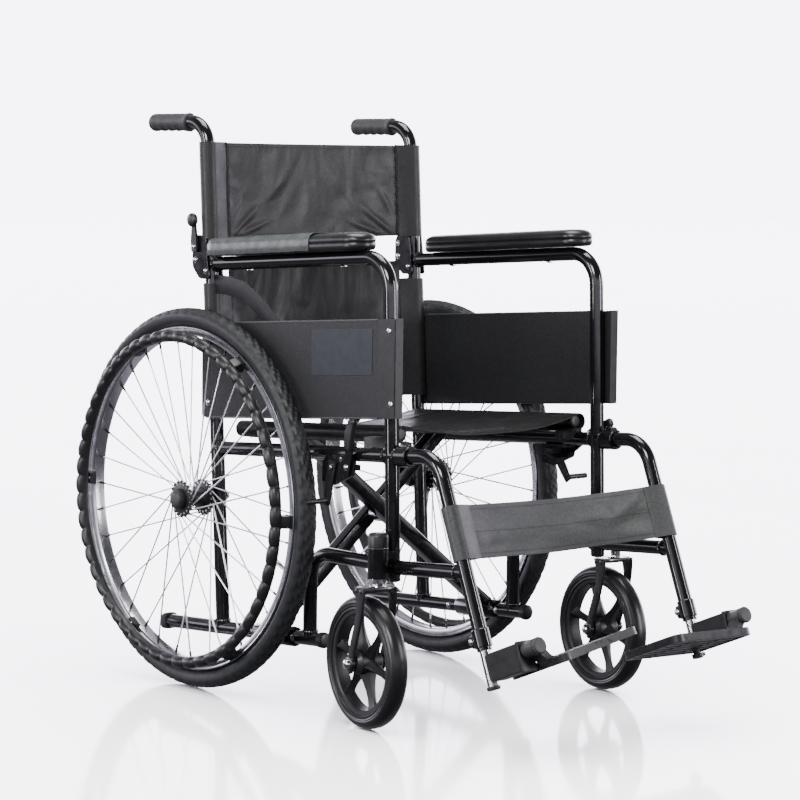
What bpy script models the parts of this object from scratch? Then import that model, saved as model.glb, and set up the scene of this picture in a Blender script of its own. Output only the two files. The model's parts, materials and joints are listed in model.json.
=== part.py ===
"""Folding manual wheelchair with a cross-brace frame.

Metres, +Z up. The chair faces -Y, so its right side is at -X and its left side at +X.
The origin is on the floor, under the middle of the whole chair.
Every sub-part is one named object, and a part that moves has its origin on its joint's axis.
"""
from math import atan, cos, pi, radians, sin

import bmesh
import bpy
from mathutils import Matrix, Vector

# ---- driving dimensions -------------------------------------------------------------------
AXLE_Y = 0.24535           # the rear axle lies this far behind the origin
WHEEL_R = 0.305            # 24 inch rear wheel
WHEEL_Z = WHEEL_R
WHEEL_X = 0.256            # middle plane of each rear wheel
WHEEL_SIDES = 40
TYRE_HALF = 0.0176         # half the tyre's width
TYRE_INNER_R = 0.2745
RIM_INNER_R = 0.2615
RIM_HALF = 0.0125
HANDRIM_R = 0.2595         # to the middle of the handrim's section
HANDRIM_BAR_R = 0.0085
HANDRIM_X = 0.290
HANDRIM_TABS = 6
TAB_START = 0.0129         # from the wheel's middle plane
SPOKES = 36
SPOKE_R = 0.0011
SPOKE_LEAN = radians(58.0) # from a spoke's rim end round to its flange end
HUB_R = 0.0150
FLANGE_R = 0.027
FLANGE_HALF = 0.021        # each spoke flange lies this far from the wheel's middle plane
AXLE_R = 0.006

FRAME_X = 0.215            # middle plane of each side frame
TUBE_R = 0.011
TUBE_SIDES = 12
RAKE = atan(0.0585)        # the frame leans back by this angle
RAIL_MID_Z = 0.099         # lower rail, 0.10 ahead of the axle
SIDE_RAIL_MID_Z = 0.3967   # side rail, 0.22 ahead of the axle
ARM_Z = 0.6793             # armrest tube above the axle
FRONT_POST_BACK = -0.4435  # front post at the height FRONT_POST_Z
FRONT_POST_Z = 0.3437
FRONT_POST_LEAN = 0.030
FRONT_POST_END_Z = 0.223
REAR_POST_BACK = -0.0132   # rear post at the height REAR_POST_Z
REAR_POST_Z = 0.36
REAR_POST_LEAN = 0.060
MIDDLE_TUBE_Z = 0.2444
STUB_BACK = -0.2515

CANE_SPLIT_Z = 0.685       # height of the half-folding back's hinge pin
HINGE_BACK = 0.030         # the back's hinge pin lies this far behind the axle
POST_TOP_Z = 0.6920        # the post ends here and the cane begins
PAD_REAR = {-1: -0.0100, 1: -0.0375}   # one pad is screwed on turned end for end
PAD_LENGTH = 0.3740
GRIP_Z = 0.9055
GRIP_TIP_BACK = 0.1767
GRIP_LENGTH = 0.112
GRIP_R = 0.0155

CASTER_R = 0.100
CASTER_HALF = 0.0155
CASTER_SIDES = 24
CASTER_RIM_R = 0.0822
CASTER_SPOKES = 6
CASTER_X = 0.250           # the stem's axis
CASTER_BACK = -0.4529
CASTER_TRAIL = 0.030
CASTER_YAW = {-1: -0.152, 1: -0.107}
HOUSING_R = 0.0154         # bearing housing round the stem
HOUSING_LOW = 0.2305
HOUSING_HIGH = 0.2770
STEM_R = 0.0088

BRACE_BACK = -0.170        # the braces' middle along the lower rails
BRACE_OFFSET = 0.025       # each brace lies this far ahead of or behind that
BRACE_PIVOT_H = 0.1727     # centre pivot, above the lower rails' axes
SEAT_RAIL_H = 0.320
SEAT_RAIL_X = (SEAT_RAIL_H - BRACE_PIVOT_H) * FRAME_X / BRACE_PIVOT_H
SLEEVE_R = 0.0155
SLEEVE_BORE_R = 0.0116
BAR_WIDTH = 0.024
BAR_DEPTH = 0.022

LEG_TOP = (-0.4688, 0.4117)   # hanger tube: where it leaves the side rail, and its knee, and its end
LEG_KNEE = (-0.5440, 0.4175)
LEG_END = (-0.6505, 0.1465)
TIE_START = (-0.4602, 0.2442)
TIE_END = (-0.6040, 0.2535)
FOOT_STEM_R = 0.0080
FOOT_STEM_LENGTH = 0.150
FOOT_STEM_OUT = 0.058      # how much of it shows below the hanger
FOOT_TILT = radians(22.0)  # toes up
FOOT_HEEL = (-0.680, 0.1000)  # the plate's rear lower edge
PLATE_ROLL = {-1: radians(9.0), 1: radians(2.0)}
PLATE_WIDTH = 0.163
PLATE_LENGTH = 0.125
PLATE_THICK = 0.012
PLATE_SLOTS = 4
PIN_LIFT = 0.0345          # the plate's hinge pin lies this far above the plate's underside
PIN_R = 0.0050
BARREL_START = 0.0752      # the plate's barrel on that pin, measured forward from the heel edge
BARREL_END = 0.1060

BRACKET_OUT = 0.0150       # from the side frame's middle plane to the bracket
BRACKET_THICK = 0.003
BRAKE_LEVER_AXIS = (-0.3600, 0.3860)
BRAKE_SHOE_AXIS = (-0.3250, 0.3830)
BRAKE_LEVER_LEAN = {-1: radians(14.0), 1: radians(61.0)}   # forward from upright
BRAKE_SHOE_LEAN = {-1: radians(12.0), 1: radians(-34.0)}   # rearward from hanging down
BRAKE_LEVER_LENGTH = {-1: 0.078, 1: 0.106}

GAP = 0.0004               # between faces that meet

BLACK_PAINT = ((0.012, 0.012, 0.013), 0.18, 0.0)
PLASTIC = ((0.018, 0.018, 0.019), 0.42, 0.0)
GREY_PLASTIC = ((0.045, 0.046, 0.048), 0.60, 0.0)
RUBBER = ((0.020, 0.022, 0.025), 0.70, 0.0)
CHROME = ((0.72, 0.73, 0.74), 0.12, 1.0)
SILVER = ((0.62, 0.63, 0.65), 0.30, 1.0)
FABRIC = ((0.030, 0.030, 0.032), 0.75, 0.0)
VINYL = ((0.025, 0.027, 0.027), 0.35, 0.0)

X_AXIS = Vector((1.0, 0.0, 0.0))
Z_AXIS = Vector((0.0, 0.0, 1.0))
FOLD_AXIS = Vector((0.0, -cos(RAKE), sin(RAKE)))   # along the lower rails, forward
FOLD_UP = Vector((0.0, sin(RAKE), cos(RAKE)))
FOOT_AHEAD = Vector((0.0, -cos(FOOT_TILT), sin(FOOT_TILT)))
FOOT_UP = Vector((0.0, sin(FOOT_TILT), cos(FOOT_TILT)))
SIDE_NAME = {-1: "right", 1: "left"}


# ---- places -------------------------------------------------------------------------------
def at(x, back, z):
    """A point given by how far it lies behind the rear axle; forward is negative."""
    return Vector((x, AXLE_Y + back, z))


def rail_z(back):
    return RAIL_MID_Z - (back + 0.10) * FOLD_UP.y / FOLD_UP.z


def side_rail_z(back):
    return SIDE_RAIL_MID_Z - (back + 0.22) * FOLD_UP.y / FOLD_UP.z


def arm_z(back):
    return ARM_Z - REAR_POST_LEAN * back


def rear_post(side, z):
    return at(side * FRAME_X, REAR_POST_BACK + REAR_POST_LEAN * (z - REAR_POST_Z), z)


def front_post(side, z):
    return at(side * FRAME_X, FRONT_POST_BACK + FRONT_POST_LEAN * (z - FRONT_POST_Z), z)


def in_fold(x, height, back):
    """A point given in the braces' own plane, which is square to the lower rails."""
    return at(x, back, rail_z(back)) + FOLD_UP * height


# ---- solids -------------------------------------------------------------------------------
def loft(rings, closed=False):
    """A solid through rings of points; capped at its ends unless it closes on itself."""
    solid = bmesh.new()
    rows = [[solid.verts.new(point) for point in ring] for ring in rings]
    count = len(rows[0])
    pairs = list(zip(rows, rows[1:]))
    if closed:
        pairs.append((rows[-1], rows[0]))
    else:
        solid.faces.new(rows[0])
        solid.faces.new(rows[-1])
    for low, high in pairs:
        for i in range(count):
            j = (i + 1) % count
            solid.faces.new((low[i], low[j], high[j], high[i]))
    bmesh.ops.recalc_face_normals(solid, faces=solid.faces)
    mesh = bpy.data.meshes.new("solid")
    solid.to_mesh(mesh)
    solid.free()
    result = bpy.data.objects.new("solid", mesh)
    bpy.context.collection.objects.link(result)
    return result


def disc(radius, sides, turn=0.0):
    steps = (turn + 2.0 * pi * i / sides for i in range(sides))
    return [(radius * cos(a), radius * sin(a)) for a in steps]


def rectangle(width, depth, corner):
    """A rectangle with its corners cut off."""
    w, d = width / 2.0, depth / 2.0
    points = []
    for sx, sy in ((1, 1), (-1, 1), (-1, -1), (1, -1)):
        pair = [(sx * w, sy * (d - corner)), (sx * (w - corner), sy * d)]
        points += pair if sx * sy > 0 else pair[::-1]
    return points


def swept(points, outline, side=X_AXIS, scales=None):
    """An outline moved along points; its first coordinate lies along side."""
    rings = []
    last = len(points) - 1
    for i, point in enumerate(points):
        ahead = points[min(i + 1, last)] - points[max(i - 1, 0)]
        ahead.normalize()
        across = (side - ahead * side.dot(ahead)).normalized()
        up = ahead.cross(across)
        grow = scales[i] if scales else 1.0
        rings.append([point + (across * a + up * b) * grow for a, b in outline])
    return loft(rings)


def bend(points, radius, steps=6):
    """Points with an arc of the given radius at each inner corner."""
    path = [points[0]]
    for before, corner, after in zip(points, points[1:], points[2:]):
        back = (before - corner).normalized()
        ahead = (after - corner).normalized()
        half = back.angle(ahead) / 2.0
        reach = radius * cos(half) / sin(half)
        centre = corner + (back + ahead).normalized() * (radius / sin(half))
        start = corner + back * reach - centre
        axis = start.cross(corner + ahead * reach - centre).normalized()
        for step in range(steps + 1):
            turn = Matrix.Rotation((pi - 2.0 * half) * step / steps, 3, axis)
            path.append(centre + turn @ start)
    path.append(points[-1])
    return path


def tube(points, radius=TUBE_R, sides=TUBE_SIDES, side=X_AXIS):
    return swept(points, disc(radius, sides, pi / sides), side)


def turned(centre, axis, stations, sides, turn=None):
    """A solid turned about an axis, from (distance along it, radius) stations."""
    across = axis.orthogonal().normalized() if abs(axis.z) > 0.9 else axis.cross(Z_AXIS).normalized()
    up = axis.cross(across)
    offset = pi / sides if turn is None else turn
    rings = []
    for distance, radius in stations:
        middle = centre + axis * distance
        rings.append([middle + across * a + up * b for a, b in disc(radius, sides, offset)])
    return loft(rings)


def hoop(centre, axis, profile, sides):
    """A ring turned about an axis, from a closed profile of (distance along it, radius)."""
    across = axis.cross(Z_AXIS).normalized()
    up = axis.cross(across)
    reach = 1.0 / cos(pi / sides)      # so that the flats, not the corners, have the stated radius
    rings = []
    for a, b in disc(reach, sides, pi / sides):
        rings.append([centre + axis * d + (across * a + up * b) * r for d, r in profile])
    return loft(rings, closed=True)


def rounded_profile(half, inner, outer, middle=0.0, corner=0.26):
    """A closed section between two radii, with its outer corners rounded off."""
    cut = half * 2.0 * corner
    right = [(half * 0.86, inner), (half, inner + cut * 0.4), (half, outer - cut), (half * 0.42, outer)]
    left = [(-across, radius) for across, radius in reversed(right)]
    return [(middle + across, radius) for across, radius in right + left]


def box(low, high):
    a, b = Vector(low), Vector(high)
    corners = ((a.x, a.y), (b.x, a.y), (b.x, b.y), (a.x, b.y))
    return loft([[Vector((x, y, z)) for x, y in corners] for z in (a.z, b.z)])


def side_box(side, across, back, height):
    """A box from (low, high) pairs; across is measured outward from the middle plane."""
    xs = sorted(side * reach for reach in across)
    return box(at(xs[0], back[0], height[0]), at(xs[1], back[1], height[1]))


def prism(outline, low, high):
    """A (back, z) outline made solid between two x values."""
    return loft([[at(x, back, z) for back, z in outline] for x in (low, high)])


def bake(piece):
    """Turn the piece's modifiers into plain mesh."""
    bpy.context.view_layer.update()
    shaped = piece.evaluated_get(bpy.context.evaluated_depsgraph_get())
    result = bpy.data.meshes.new_from_object(shaped)
    piece.modifiers.clear()
    piece.data = result
    return piece


def combine(base, others, operation):
    for other in others:
        step = base.modifiers.new(operation, "BOOLEAN")
        step.operation = operation
        step.solver = "EXACT"
        step.object = other
    bake(base)
    for other in others:
        bpy.data.objects.remove(other)
    return base


def weld(base, *others):
    return combine(base, others, "UNION")


def cut(base, *others):
    return combine(base, others, "DIFFERENCE")


def soften(piece, width, segments=2):
    """A Bevel on the piece's sharp edges."""
    edge = piece.modifiers.new("edges", "BEVEL")
    edge.width = width
    edge.segments = segments
    edge.limit_method = "ANGLE"
    edge.angle_limit = radians(40.0)
    return bake(piece)


def name_part(piece, name, look, origin=None):
    """Name the piece, give it its own material and put its origin on its joint's axis."""
    colour, roughness, metallic = look
    material = bpy.data.materials.new(name)
    material.use_nodes = True
    shader = material.node_tree.nodes["Principled BSDF"]
    shader.inputs["Base Color"].default_value = (*colour, 1.0)
    shader.inputs["Roughness"].default_value = roughness
    shader.inputs["Metallic"].default_value = metallic
    piece.name = name
    piece.data.name = name
    piece.data.materials.clear()
    piece.data.materials.append(material)
    if origin is not None:
        piece.data.transform(Matrix.Translation(-origin))
        piece.location = origin
    piece.data.shade_smooth()
    piece.data.set_sharp_from_angle(angle=radians(32.0))
    return piece


# ---- side frame ---------------------------------------------------------------------------
def caster_stem(side, z):
    return at(side * CASTER_X, CASTER_BACK, z)


def side_frame(side):
    """Posts, rails, armrest tube, caster housing and axle boss of one side, with its back hinge."""
    x = side * FRAME_X
    low, high = 0.655, POST_TOP_Z - GAP
    frame = tube([rear_post(side, rail_z(-0.028)), rear_post(side, high)])
    lower_rail = tube([at(x, back, rail_z(back)) for back in (0.112, -0.283)])
    stub = [at(x, STUB_BACK, rail_z(STUB_BACK)), at(x, STUB_BACK, MIDDLE_TUBE_Z),
            front_post(side, MIDDLE_TUBE_Z)]
    middle_tube = tube(bend(stub, 0.045))
    side_rail = tube([at(x, back, side_rail_z(back)) for back in (-0.012, LEG_TOP[0] + GAP)])
    corner = front_post(side, arm_z(-0.4326))
    arm = [at(x, 0.004, arm_z(0.004)), corner, front_post(side, FRONT_POST_END_Z)]
    arm_tube = tube(bend(arm, 0.050, 8))
    ends = [(HOUSING_LOW, HOUSING_R), (HOUSING_HIGH, HOUSING_R)]
    housing = turned(caster_stem(side, 0.0), Z_AXIS, ends, 20)
    lug = side_box(side, (0.2200, 0.2385), (CASTER_BACK - 0.006, CASTER_BACK + 0.006), (0.236, 0.268))
    hub = at(side * 0.203, 0.0, WHEEL_Z)
    boss = turned(hub, X_AXIS * side, [(0.0, 0.014), (0.025, 0.014)], 20)
    weld(frame, lower_rail, middle_tube, side_rail, arm_tube, housing, lug, boss)
    bore = turned(hub, X_AXIS * side, [(-0.05, AXLE_R + GAP), (0.08, AXLE_R + GAP)], 16)
    stem_hole = turned(caster_stem(side, 0.0), Z_AXIS, [(0.20, STEM_R + GAP), (0.30, STEM_R + GAP)], 16)
    cut(frame, bore, stem_hole)
    cheek = [(-0.006, low), (0.020, low), (0.0385, 0.674),
             (0.0385, 0.712), (0.030, 0.725), (0.004, 0.725)]
    for inner in (FRAME_X - 0.0150, FRAME_X + 0.0118):
        plate = prism(cheek, side * inner, side * (inner + 0.0032))
        weld(frame, plate)
    web = prism([(0.012, low), (0.020, low), (0.026, 0.664), (0.012, 0.664)],
                side * (FRAME_X - 0.0130), side * (FRAME_X + 0.0130))
    pin = turned(at(side * (FRAME_X - 0.0185), HINGE_BACK, CANE_SPLIT_Z), X_AXIS * side,
                 [(0.0, 0.0042), (0.0375, 0.0042)], 10)
    weld(frame, web, pin)
    return name_part(frame, f"side_frame_{SIDE_NAME[side]}", BLACK_PAINT)


def rail_tip(side):
    """Rubber-tipped tail of the lower rail, which a helper steps on."""
    x = side * FRAME_X
    start, end = 0.1124, 0.1300
    path = [at(x, back, rail_z(back)) for back in (start, 0.118, end - 0.005, end)]
    tip = swept(path, disc(0.0130, 14), X_AXIS, [1.0, 1.0, 1.0, 0.72])
    return name_part(tip, f"rail_tip_{SIDE_NAME[side]}", RUBBER)


def armrest_pad(side):
    """Padded rest with rounded ends, screwed onto the armrest tube."""
    low, high = TUBE_R + GAP, 0.040
    rear, half = PAD_REAR[side], 0.029
    front = rear - PAD_LENGTH
    rings = []
    steps = 5
    layers = ((low, 0.004), (low + 0.006, 0.0), (high - 0.010, 0.0), (high - 0.003, 0.005), (high, 0.013))
    for lift, inset in layers:
        ring = []
        for end, start in ((rear, 0.0), (front, pi)):
            sign = 1.0 if end == rear else -1.0
            for step in range(steps + 1):
                a = start - pi / 2.0 + pi * step / steps
                back = end - sign * half + (half - inset) * cos(a)
                across = (half - inset) * sin(a)
                ring.append(at(side * FRAME_X + across, back, arm_z(back) + lift))
        rings.append(ring)
    return name_part(loft(rings), f"armrest_pad_{SIDE_NAME[side]}", VINYL)


def side_panel(side):
    """Clothing guard on the outside of the posts."""
    outline = [(0.010, 0.4330), (-0.466, 0.4680), (-0.466, 0.6150), (-0.010, 0.5860), (0.010, 0.5700)]
    inner = FRAME_X + TUBE_R + 0.0012
    panel = prism(outline, side * inner, side * (inner + 0.0040))
    return name_part(panel, f"side_panel_{SIDE_NAME[side]}", GREY_PLASTIC)


def seat_saddle(side):
    """Plastic cradle on the side rail that carries the seat rail when the chair is open."""
    back = -0.392
    seat = in_fold(side * SEAT_RAIL_X, SEAT_RAIL_H, back - SEAT_RAIL_H * sin(RAKE))
    low = side_rail_z(back) + 0.002
    block = side_box(side, (SEAT_RAIL_X - 0.004, FRAME_X + 0.006), (back - 0.009, back + 0.009),
                     (low, seat.z - 0.003))
    rails = []
    for middle in (seat, at(side * FRAME_X, back, side_rail_z(back))):
        rails.append(turned(middle, FOLD_AXIS, [(-0.03, TUBE_R + 0.0006), (0.03, TUBE_R + 0.0006)], 24))
    return name_part(cut(block, *rails), f"seat_saddle_{SIDE_NAME[side]}", GREY_PLASTIC)


# ---- back ---------------------------------------------------------------------------------
def grip_start():
    return GRIP_TIP_BACK - GRIP_LENGTH


def back_cane(side):
    """Upper half of the back post, bent rearward into the push handle."""
    name = SIDE_NAME[side]
    x = side * FRAME_X
    points = [rear_post(side, POST_TOP_Z + GAP), at(x, REAR_POST_BACK + REAR_POST_LEAN * 0.547, GRIP_Z),
              at(x, GRIP_TIP_BACK - 0.006, GRIP_Z)]
    cane = tube(bend(points, 0.042, 8))
    outline = [(0.012, POST_TOP_Z + 0.0012), (0.0190, POST_TOP_Z + 0.0012), (0.0200, 0.6890),
               (HINGE_BACK - 0.002, 0.6890), (0.0370, 0.6800), (0.0370, 0.7120), (0.012, 0.7180)]
    tang = prism(outline, side * (FRAME_X - 0.0105), side * (FRAME_X + 0.0105))
    weld(cane, tang)
    hole = turned(at(side * (FRAME_X - 0.03), HINGE_BACK, CANE_SPLIT_Z), X_AXIS * side,
                  [(0.0, 0.0048), (0.06, 0.0048)], 14)
    cut(cane, hole)
    hinge = at(x, HINGE_BACK, CANE_SPLIT_Z)
    name_part(cane, f"back_cane_{name}", BLACK_PAINT, hinge)

    start = grip_start()
    scallop = [(0.0, 0.92), (0.004, 1.08), (0.008, 1.0)]
    fingers = 4
    reach = GRIP_LENGTH - 0.020
    for finger in range(fingers):
        for part, grow in ((0.25, 1.04), (0.75, 0.93)):
            scallop.append((0.010 + reach * (finger + part) / fingers, grow))
    scallop += [(GRIP_LENGTH - 0.006, 1.06), (GRIP_LENGTH, 0.90)]
    rings = [(distance, GRIP_R * grow) for distance, grow in scallop]
    grip = turned(at(x, start, GRIP_Z), Vector((0.0, 1.0, 0.0)), rings, 12)
    bore = turned(at(x, start - 0.02, GRIP_Z), Vector((0.0, 1.0, 0.0)),
                  [(0.0, TUBE_R + 0.0006), (GRIP_LENGTH + 0.0145, TUBE_R + 0.0006)], 16)
    name_part(cut(grip, bore), f"grip_{name}", RUBBER, hinge)


def latch_axis(side):
    return at(side * (FRAME_X + 0.0205), 0.0260, 0.7060)


def latch_lever(side):
    """Release lever of the back's hinge, with a round knob on top."""
    x = FRAME_X + 0.0160
    outline = [(0.020, 0.698), (0.034, 0.698), (0.036, 0.716),
               (0.0335, 0.742), (0.0255, 0.742), (0.021, 0.716)]
    lever = prism(outline, side * x, side * (x + 0.0050))
    knob = turned(at(side * (x + 0.0010), 0.0295, 0.749), X_AXIS * side,
                  [(0.0, 0.0085), (0.0020, 0.0110), (0.0080, 0.0110), (0.0100, 0.0085)], 14)
    weld(lever, knob)
    name_part(lever, f"back_latch_{SIDE_NAME[side]}", PLASTIC, latch_axis(side))


# ---- rear wheel ---------------------------------------------------------------------------
def rear_wheel(side):
    name = SIDE_NAME[side]
    centre = at(side * WHEEL_X, 0.0, WHEEL_Z)
    axis = X_AXIS * side
    tyre = hoop(centre, axis, rounded_profile(TYRE_HALF, TYRE_INNER_R, WHEEL_R), WHEEL_SIDES)
    name_part(tyre, f"tyre_{name}", RUBBER, centre)

    lip = RIM_HALF
    section = [(-lip * 0.7, RIM_INNER_R), (lip * 0.7, RIM_INNER_R), (lip, TYRE_INNER_R - GAP),
               (-lip, TYRE_INNER_R - GAP)]
    name_part(hoop(centre, axis, section, WHEEL_SIDES), f"rim_{name}", SILVER, centre)

    bar = [(HANDRIM_X - WHEEL_X + a, HANDRIM_R + b) for a, b in disc(HANDRIM_BAR_R, 6, pi / 6)]
    handrim = hoop(centre, axis, bar, WHEEL_SIDES)
    tabs = []
    for i in range(HANDRIM_TABS):
        turn = Matrix.Rotation(2.0 * pi * (i + 0.25) / HANDRIM_TABS, 4, X_AXIS)
        ends = sorted((side * TAB_START, side * (HANDRIM_X - WHEEL_X)))
        tab = box((ends[0], -0.009, 0.2625), (ends[1], 0.009, 0.2725))
        tab.data.transform(Matrix.Translation(centre) @ turn)
        tabs.append(tab)
    name_part(weld(handrim, *tabs), f"handrim_{name}", PLASTIC, centre)
    wheel_hub(side, centre, axis)

    shaft = [(-0.0700, 0.0105), (-0.0570, 0.0105), (-0.0568, AXLE_R), (0.0295, AXLE_R)]
    axle = turned(centre, axis, shaft, 12)
    name_part(axle, f"axle_{name}", CHROME)


def wheel_hub(side, centre, axis):
    """Hub with two flanges, a cap, and spokes that lean forward on one flange and back on the other."""
    bore = AXLE_R + GAP
    inside, outside = FLANGE_HALF - 0.0015, FLANGE_HALF + 0.0015
    profile = [(-0.0268, bore), (0.0300, bore), (0.0300, 0.0165), (outside, 0.0165),
               (outside, FLANGE_R), (inside, FLANGE_R), (inside, HUB_R),
               (-inside, HUB_R), (-inside, FLANGE_R), (-outside, FLANGE_R),
               (-outside, HUB_R), (-0.0268, HUB_R)]
    hub = hoop(centre, axis, profile, 16)
    cap = turned(centre, axis, [(0.0298, 0.0185), (0.0400, 0.0170), (0.0430, 0.0120)], 16)
    spokes = []
    for i in range(SPOKES):
        sign = 1 if i % 2 else -1
        rim_angle = 2.0 * pi * i / SPOKES
        hub_angle = rim_angle + sign * SPOKE_LEAN
        start = centre + axis * (sign * FLANGE_HALF) + wheel_point(hub_angle, FLANGE_R - 0.0040)
        end = centre + wheel_point(rim_angle, RIM_INNER_R - 0.0010)
        spokes.append(swept([start, end], disc(SPOKE_R, 3, 0.4)))
    bundle = spokes[0]
    with bpy.context.temp_override(active_object=bundle, selected_editable_objects=spokes):
        bpy.ops.object.join()
    weld(hub, cap, bundle)
    name_part(hub, f"wheel_hub_{SIDE_NAME[side]}", CHROME, centre)


def wheel_point(angle, radius):
    return Vector((0.0, radius * cos(angle), radius * sin(angle)))


# ---- caster -------------------------------------------------------------------------------
def caster_frame(side):
    """The caster's stem foot, its wheel's centre, its axle direction and its rolling direction."""
    yaw = CASTER_YAW[side]
    rolling = Vector((-sin(yaw), cos(yaw), 0.0))
    axis = Vector((cos(yaw), sin(yaw), 0.0))
    centre = caster_stem(side, CASTER_R) + rolling * CASTER_TRAIL
    return centre, axis, rolling


def caster(side):
    name = SIDE_NAME[side]
    centre, axis, rolling = caster_frame(side)
    foot = caster_stem(side, 0.0)
    stations = [(HOUSING_HIGH + GAP, HOUSING_R), (0.2950, HOUSING_R), (0.2985, HOUSING_R * 0.8)]
    cap = turned(foot, Z_AXIS, stations, 20)
    name_part(cap, f"caster_cap_{name}", PLASTIC)

    stem = [(0.2140, STEM_R), (0.2205, STEM_R), (0.2210, 0.0082), (0.2640, 0.0082)]
    fork = turned(foot, Z_AXIS, stem, 16)
    crown_middle = foot + rolling * 0.006
    crown = swept([crown_middle + Z_AXIS * 0.2110, crown_middle + Z_AXIS * 0.2180],
                  rectangle(0.064, 0.044, 0.008), axis)
    arms = []
    for sign in (-1, 1):
        middle = axis * (sign * 0.0275)
        path = [crown_middle + Z_AXIS * 0.2150 + middle, crown_middle + Z_AXIS * 0.1900 + middle,
                centre + Z_AXIS * 0.0450 - rolling * 0.010 + middle, centre + Z_AXIS * 0.0120 + middle,
                centre - Z_AXIS * 0.0130 + middle]
        arms.append(swept(path, rectangle(0.0050, 0.026, 0.0012), axis, [1.35, 1.30, 1.0, 0.95, 0.75]))
    weld(fork, crown, *arms)
    bore = turned(centre - axis * 0.05, axis, [(0.0, 0.0054), (0.10, 0.0054)], 16)
    cut(fork, bore)
    swivel = caster_stem(side, 0.2110)
    name_part(fork, f"caster_fork_{name}", BLACK_PAINT, swivel)

    bolt = [(0.0335, 0.0050), (0.0345, 0.0085), (0.0400, 0.0075)]
    bolt = [(-distance, radius) for distance, radius in reversed(bolt)] + bolt
    name_part(turned(centre, axis, bolt, 12), f"caster_axle_{name}", CHROME, swivel)

    tyre = hoop(centre, axis, rounded_profile(CASTER_HALF, CASTER_RIM_R + 0.0003, CASTER_R), CASTER_SIDES)
    name_part(tyre, f"caster_tyre_{name}", RUBBER, centre)

    band = [(-0.0125, 0.0720), (0.0125, 0.0720), (0.0125, CASTER_RIM_R), (-0.0125, CASTER_RIM_R)]
    wheel = hoop(centre, axis, band, CASTER_SIDES)
    barrel = [(-0.0220, 0.0130), (-0.0180, 0.0180), (0.0180, 0.0180), (0.0220, 0.0130)]
    hub = turned(centre, axis, barrel, 18)
    spokes = []
    for i in range(CASTER_SPOKES):
        angle = 2.0 * pi * (i + 0.2) / CASTER_SPOKES
        ray = rolling * cos(angle) + Z_AXIS * sin(angle)
        path = [centre + ray * reach for reach in (0.010, 0.035, 0.0745)]
        spokes.append(swept(path, rectangle(0.013, 0.012, 0.002), axis, [1.3, 1.0, 1.2]))
    weld(wheel, hub, *spokes)
    cut(wheel, turned(centre - axis * 0.05, axis, [(0.0, 0.0056), (0.10, 0.0056)], 16))
    name_part(wheel, f"caster_wheel_{name}", PLASTIC, centre)


# ---- cross brace --------------------------------------------------------------------------
def cross_brace(low_side, offset, name):
    """A bar from one lower rail up to the other side's seat rail, which is welded to it."""
    back = BRACE_BACK + offset
    low = in_fold(low_side * FRAME_X, 0.0, back)
    high = in_fold(-low_side * SEAT_RAIL_X, SEAT_RAIL_H, back)
    along = (high - low).normalized()
    section = rectangle(BAR_DEPTH, BAR_WIDTH, 0.003)
    bar = swept([low + along * 0.0128, high - along * 0.0040], section, FOLD_AXIS)
    sleeve_ends = [in_fold(low_side * FRAME_X, 0.0, end) for end in (-0.124, -0.216)]
    sleeve = tube(sleeve_ends, SLEEVE_R, 16)
    rail_ends = [in_fold(-low_side * SEAT_RAIL_X, SEAT_RAIL_H, end) for end in (-0.0540, -0.4420)]
    weld(bar, sleeve, tube(rail_ends))
    bore = tube([in_fold(low_side * FRAME_X, 0.0, end) for end in (-0.08, -0.25)], SLEEVE_BORE_R, 16)
    pivot = in_fold(0.0, BRACE_PIVOT_H, BRACE_BACK)
    hole = turned(pivot - FOLD_AXIS * 0.06, FOLD_AXIS, [(0.0, 0.0056), (0.12, 0.0056)], 14)
    cut(bar, bore, hole)
    origin = in_fold(-FRAME_X, 0.0, BRACE_BACK) if low_side < 0 else pivot
    return name_part(bar, name, BLACK_PAINT, origin)


def brace_bolt():
    """Centre bolt with a spacer between the two bars."""
    pivot = in_fold(0.0, BRACE_PIVOT_H, BRACE_BACK)
    inner = BRACE_OFFSET - BAR_DEPTH / 2.0 - GAP
    outer = BRACE_OFFSET + BAR_DEPTH / 2.0 + GAP
    stations = [(-outer - 0.006, 0.008), (-outer, 0.0095), (-outer, 0.005),
                (-inner, 0.005), (-inner, 0.011)]
    stations += [(-distance, radius) for distance, radius in reversed(stations)]
    name_part(turned(pivot, FOLD_AXIS, stations, 14), "brace_pivot_bolt", CHROME, pivot)


# ---- footrest -----------------------------------------------------------------------------
def leg_axis():
    """Direction of the hanger's leg, downward."""
    knee, end = at(0.0, *LEG_KNEE), at(0.0, *LEG_END)
    return (end - knee).normalized()


def foot_point(x, ahead, up):
    """A point in the footplate's own directions, from its heel edge."""
    return at(x, *FOOT_HEEL) + FOOT_AHEAD * ahead + FOOT_UP * up


def hanger(side):
    x = side * FRAME_X
    name = SIDE_NAME[side]
    end = at(x, *LEG_END)
    leg = tube(bend([at(x, *LEG_TOP), at(x, *LEG_KNEE), end], 0.050, 8))
    tie = tube([at(x, *TIE_START), at(x, *TIE_END)])
    down = leg_axis()
    lug = swept([end - down * 0.030, end - down * 0.004], rectangle(0.016, 0.034, 0.002))
    weld(leg, tie, lug)
    cut(leg, turned(end + down * 0.02, -down, [(0.0, FOOT_STEM_R + GAP), (0.130, FOOT_STEM_R + GAP)], 14))
    name_part(leg, f"hanger_{name}", BLACK_PAINT)

    collar_middle = at(x, LEG_TOP[0], side_rail_z(LEG_TOP[0]))
    inner, outer = TUBE_R + 0.0009, 0.0160
    profile = [(-0.0085, inner), (0.0165, inner), (0.0165, outer), (-0.0085, outer)]
    collar = hoop_about(collar_middle, FOLD_AXIS, profile, 20)
    name_part(collar, f"hanger_clamp_{name}", BLACK_PAINT)


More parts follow.
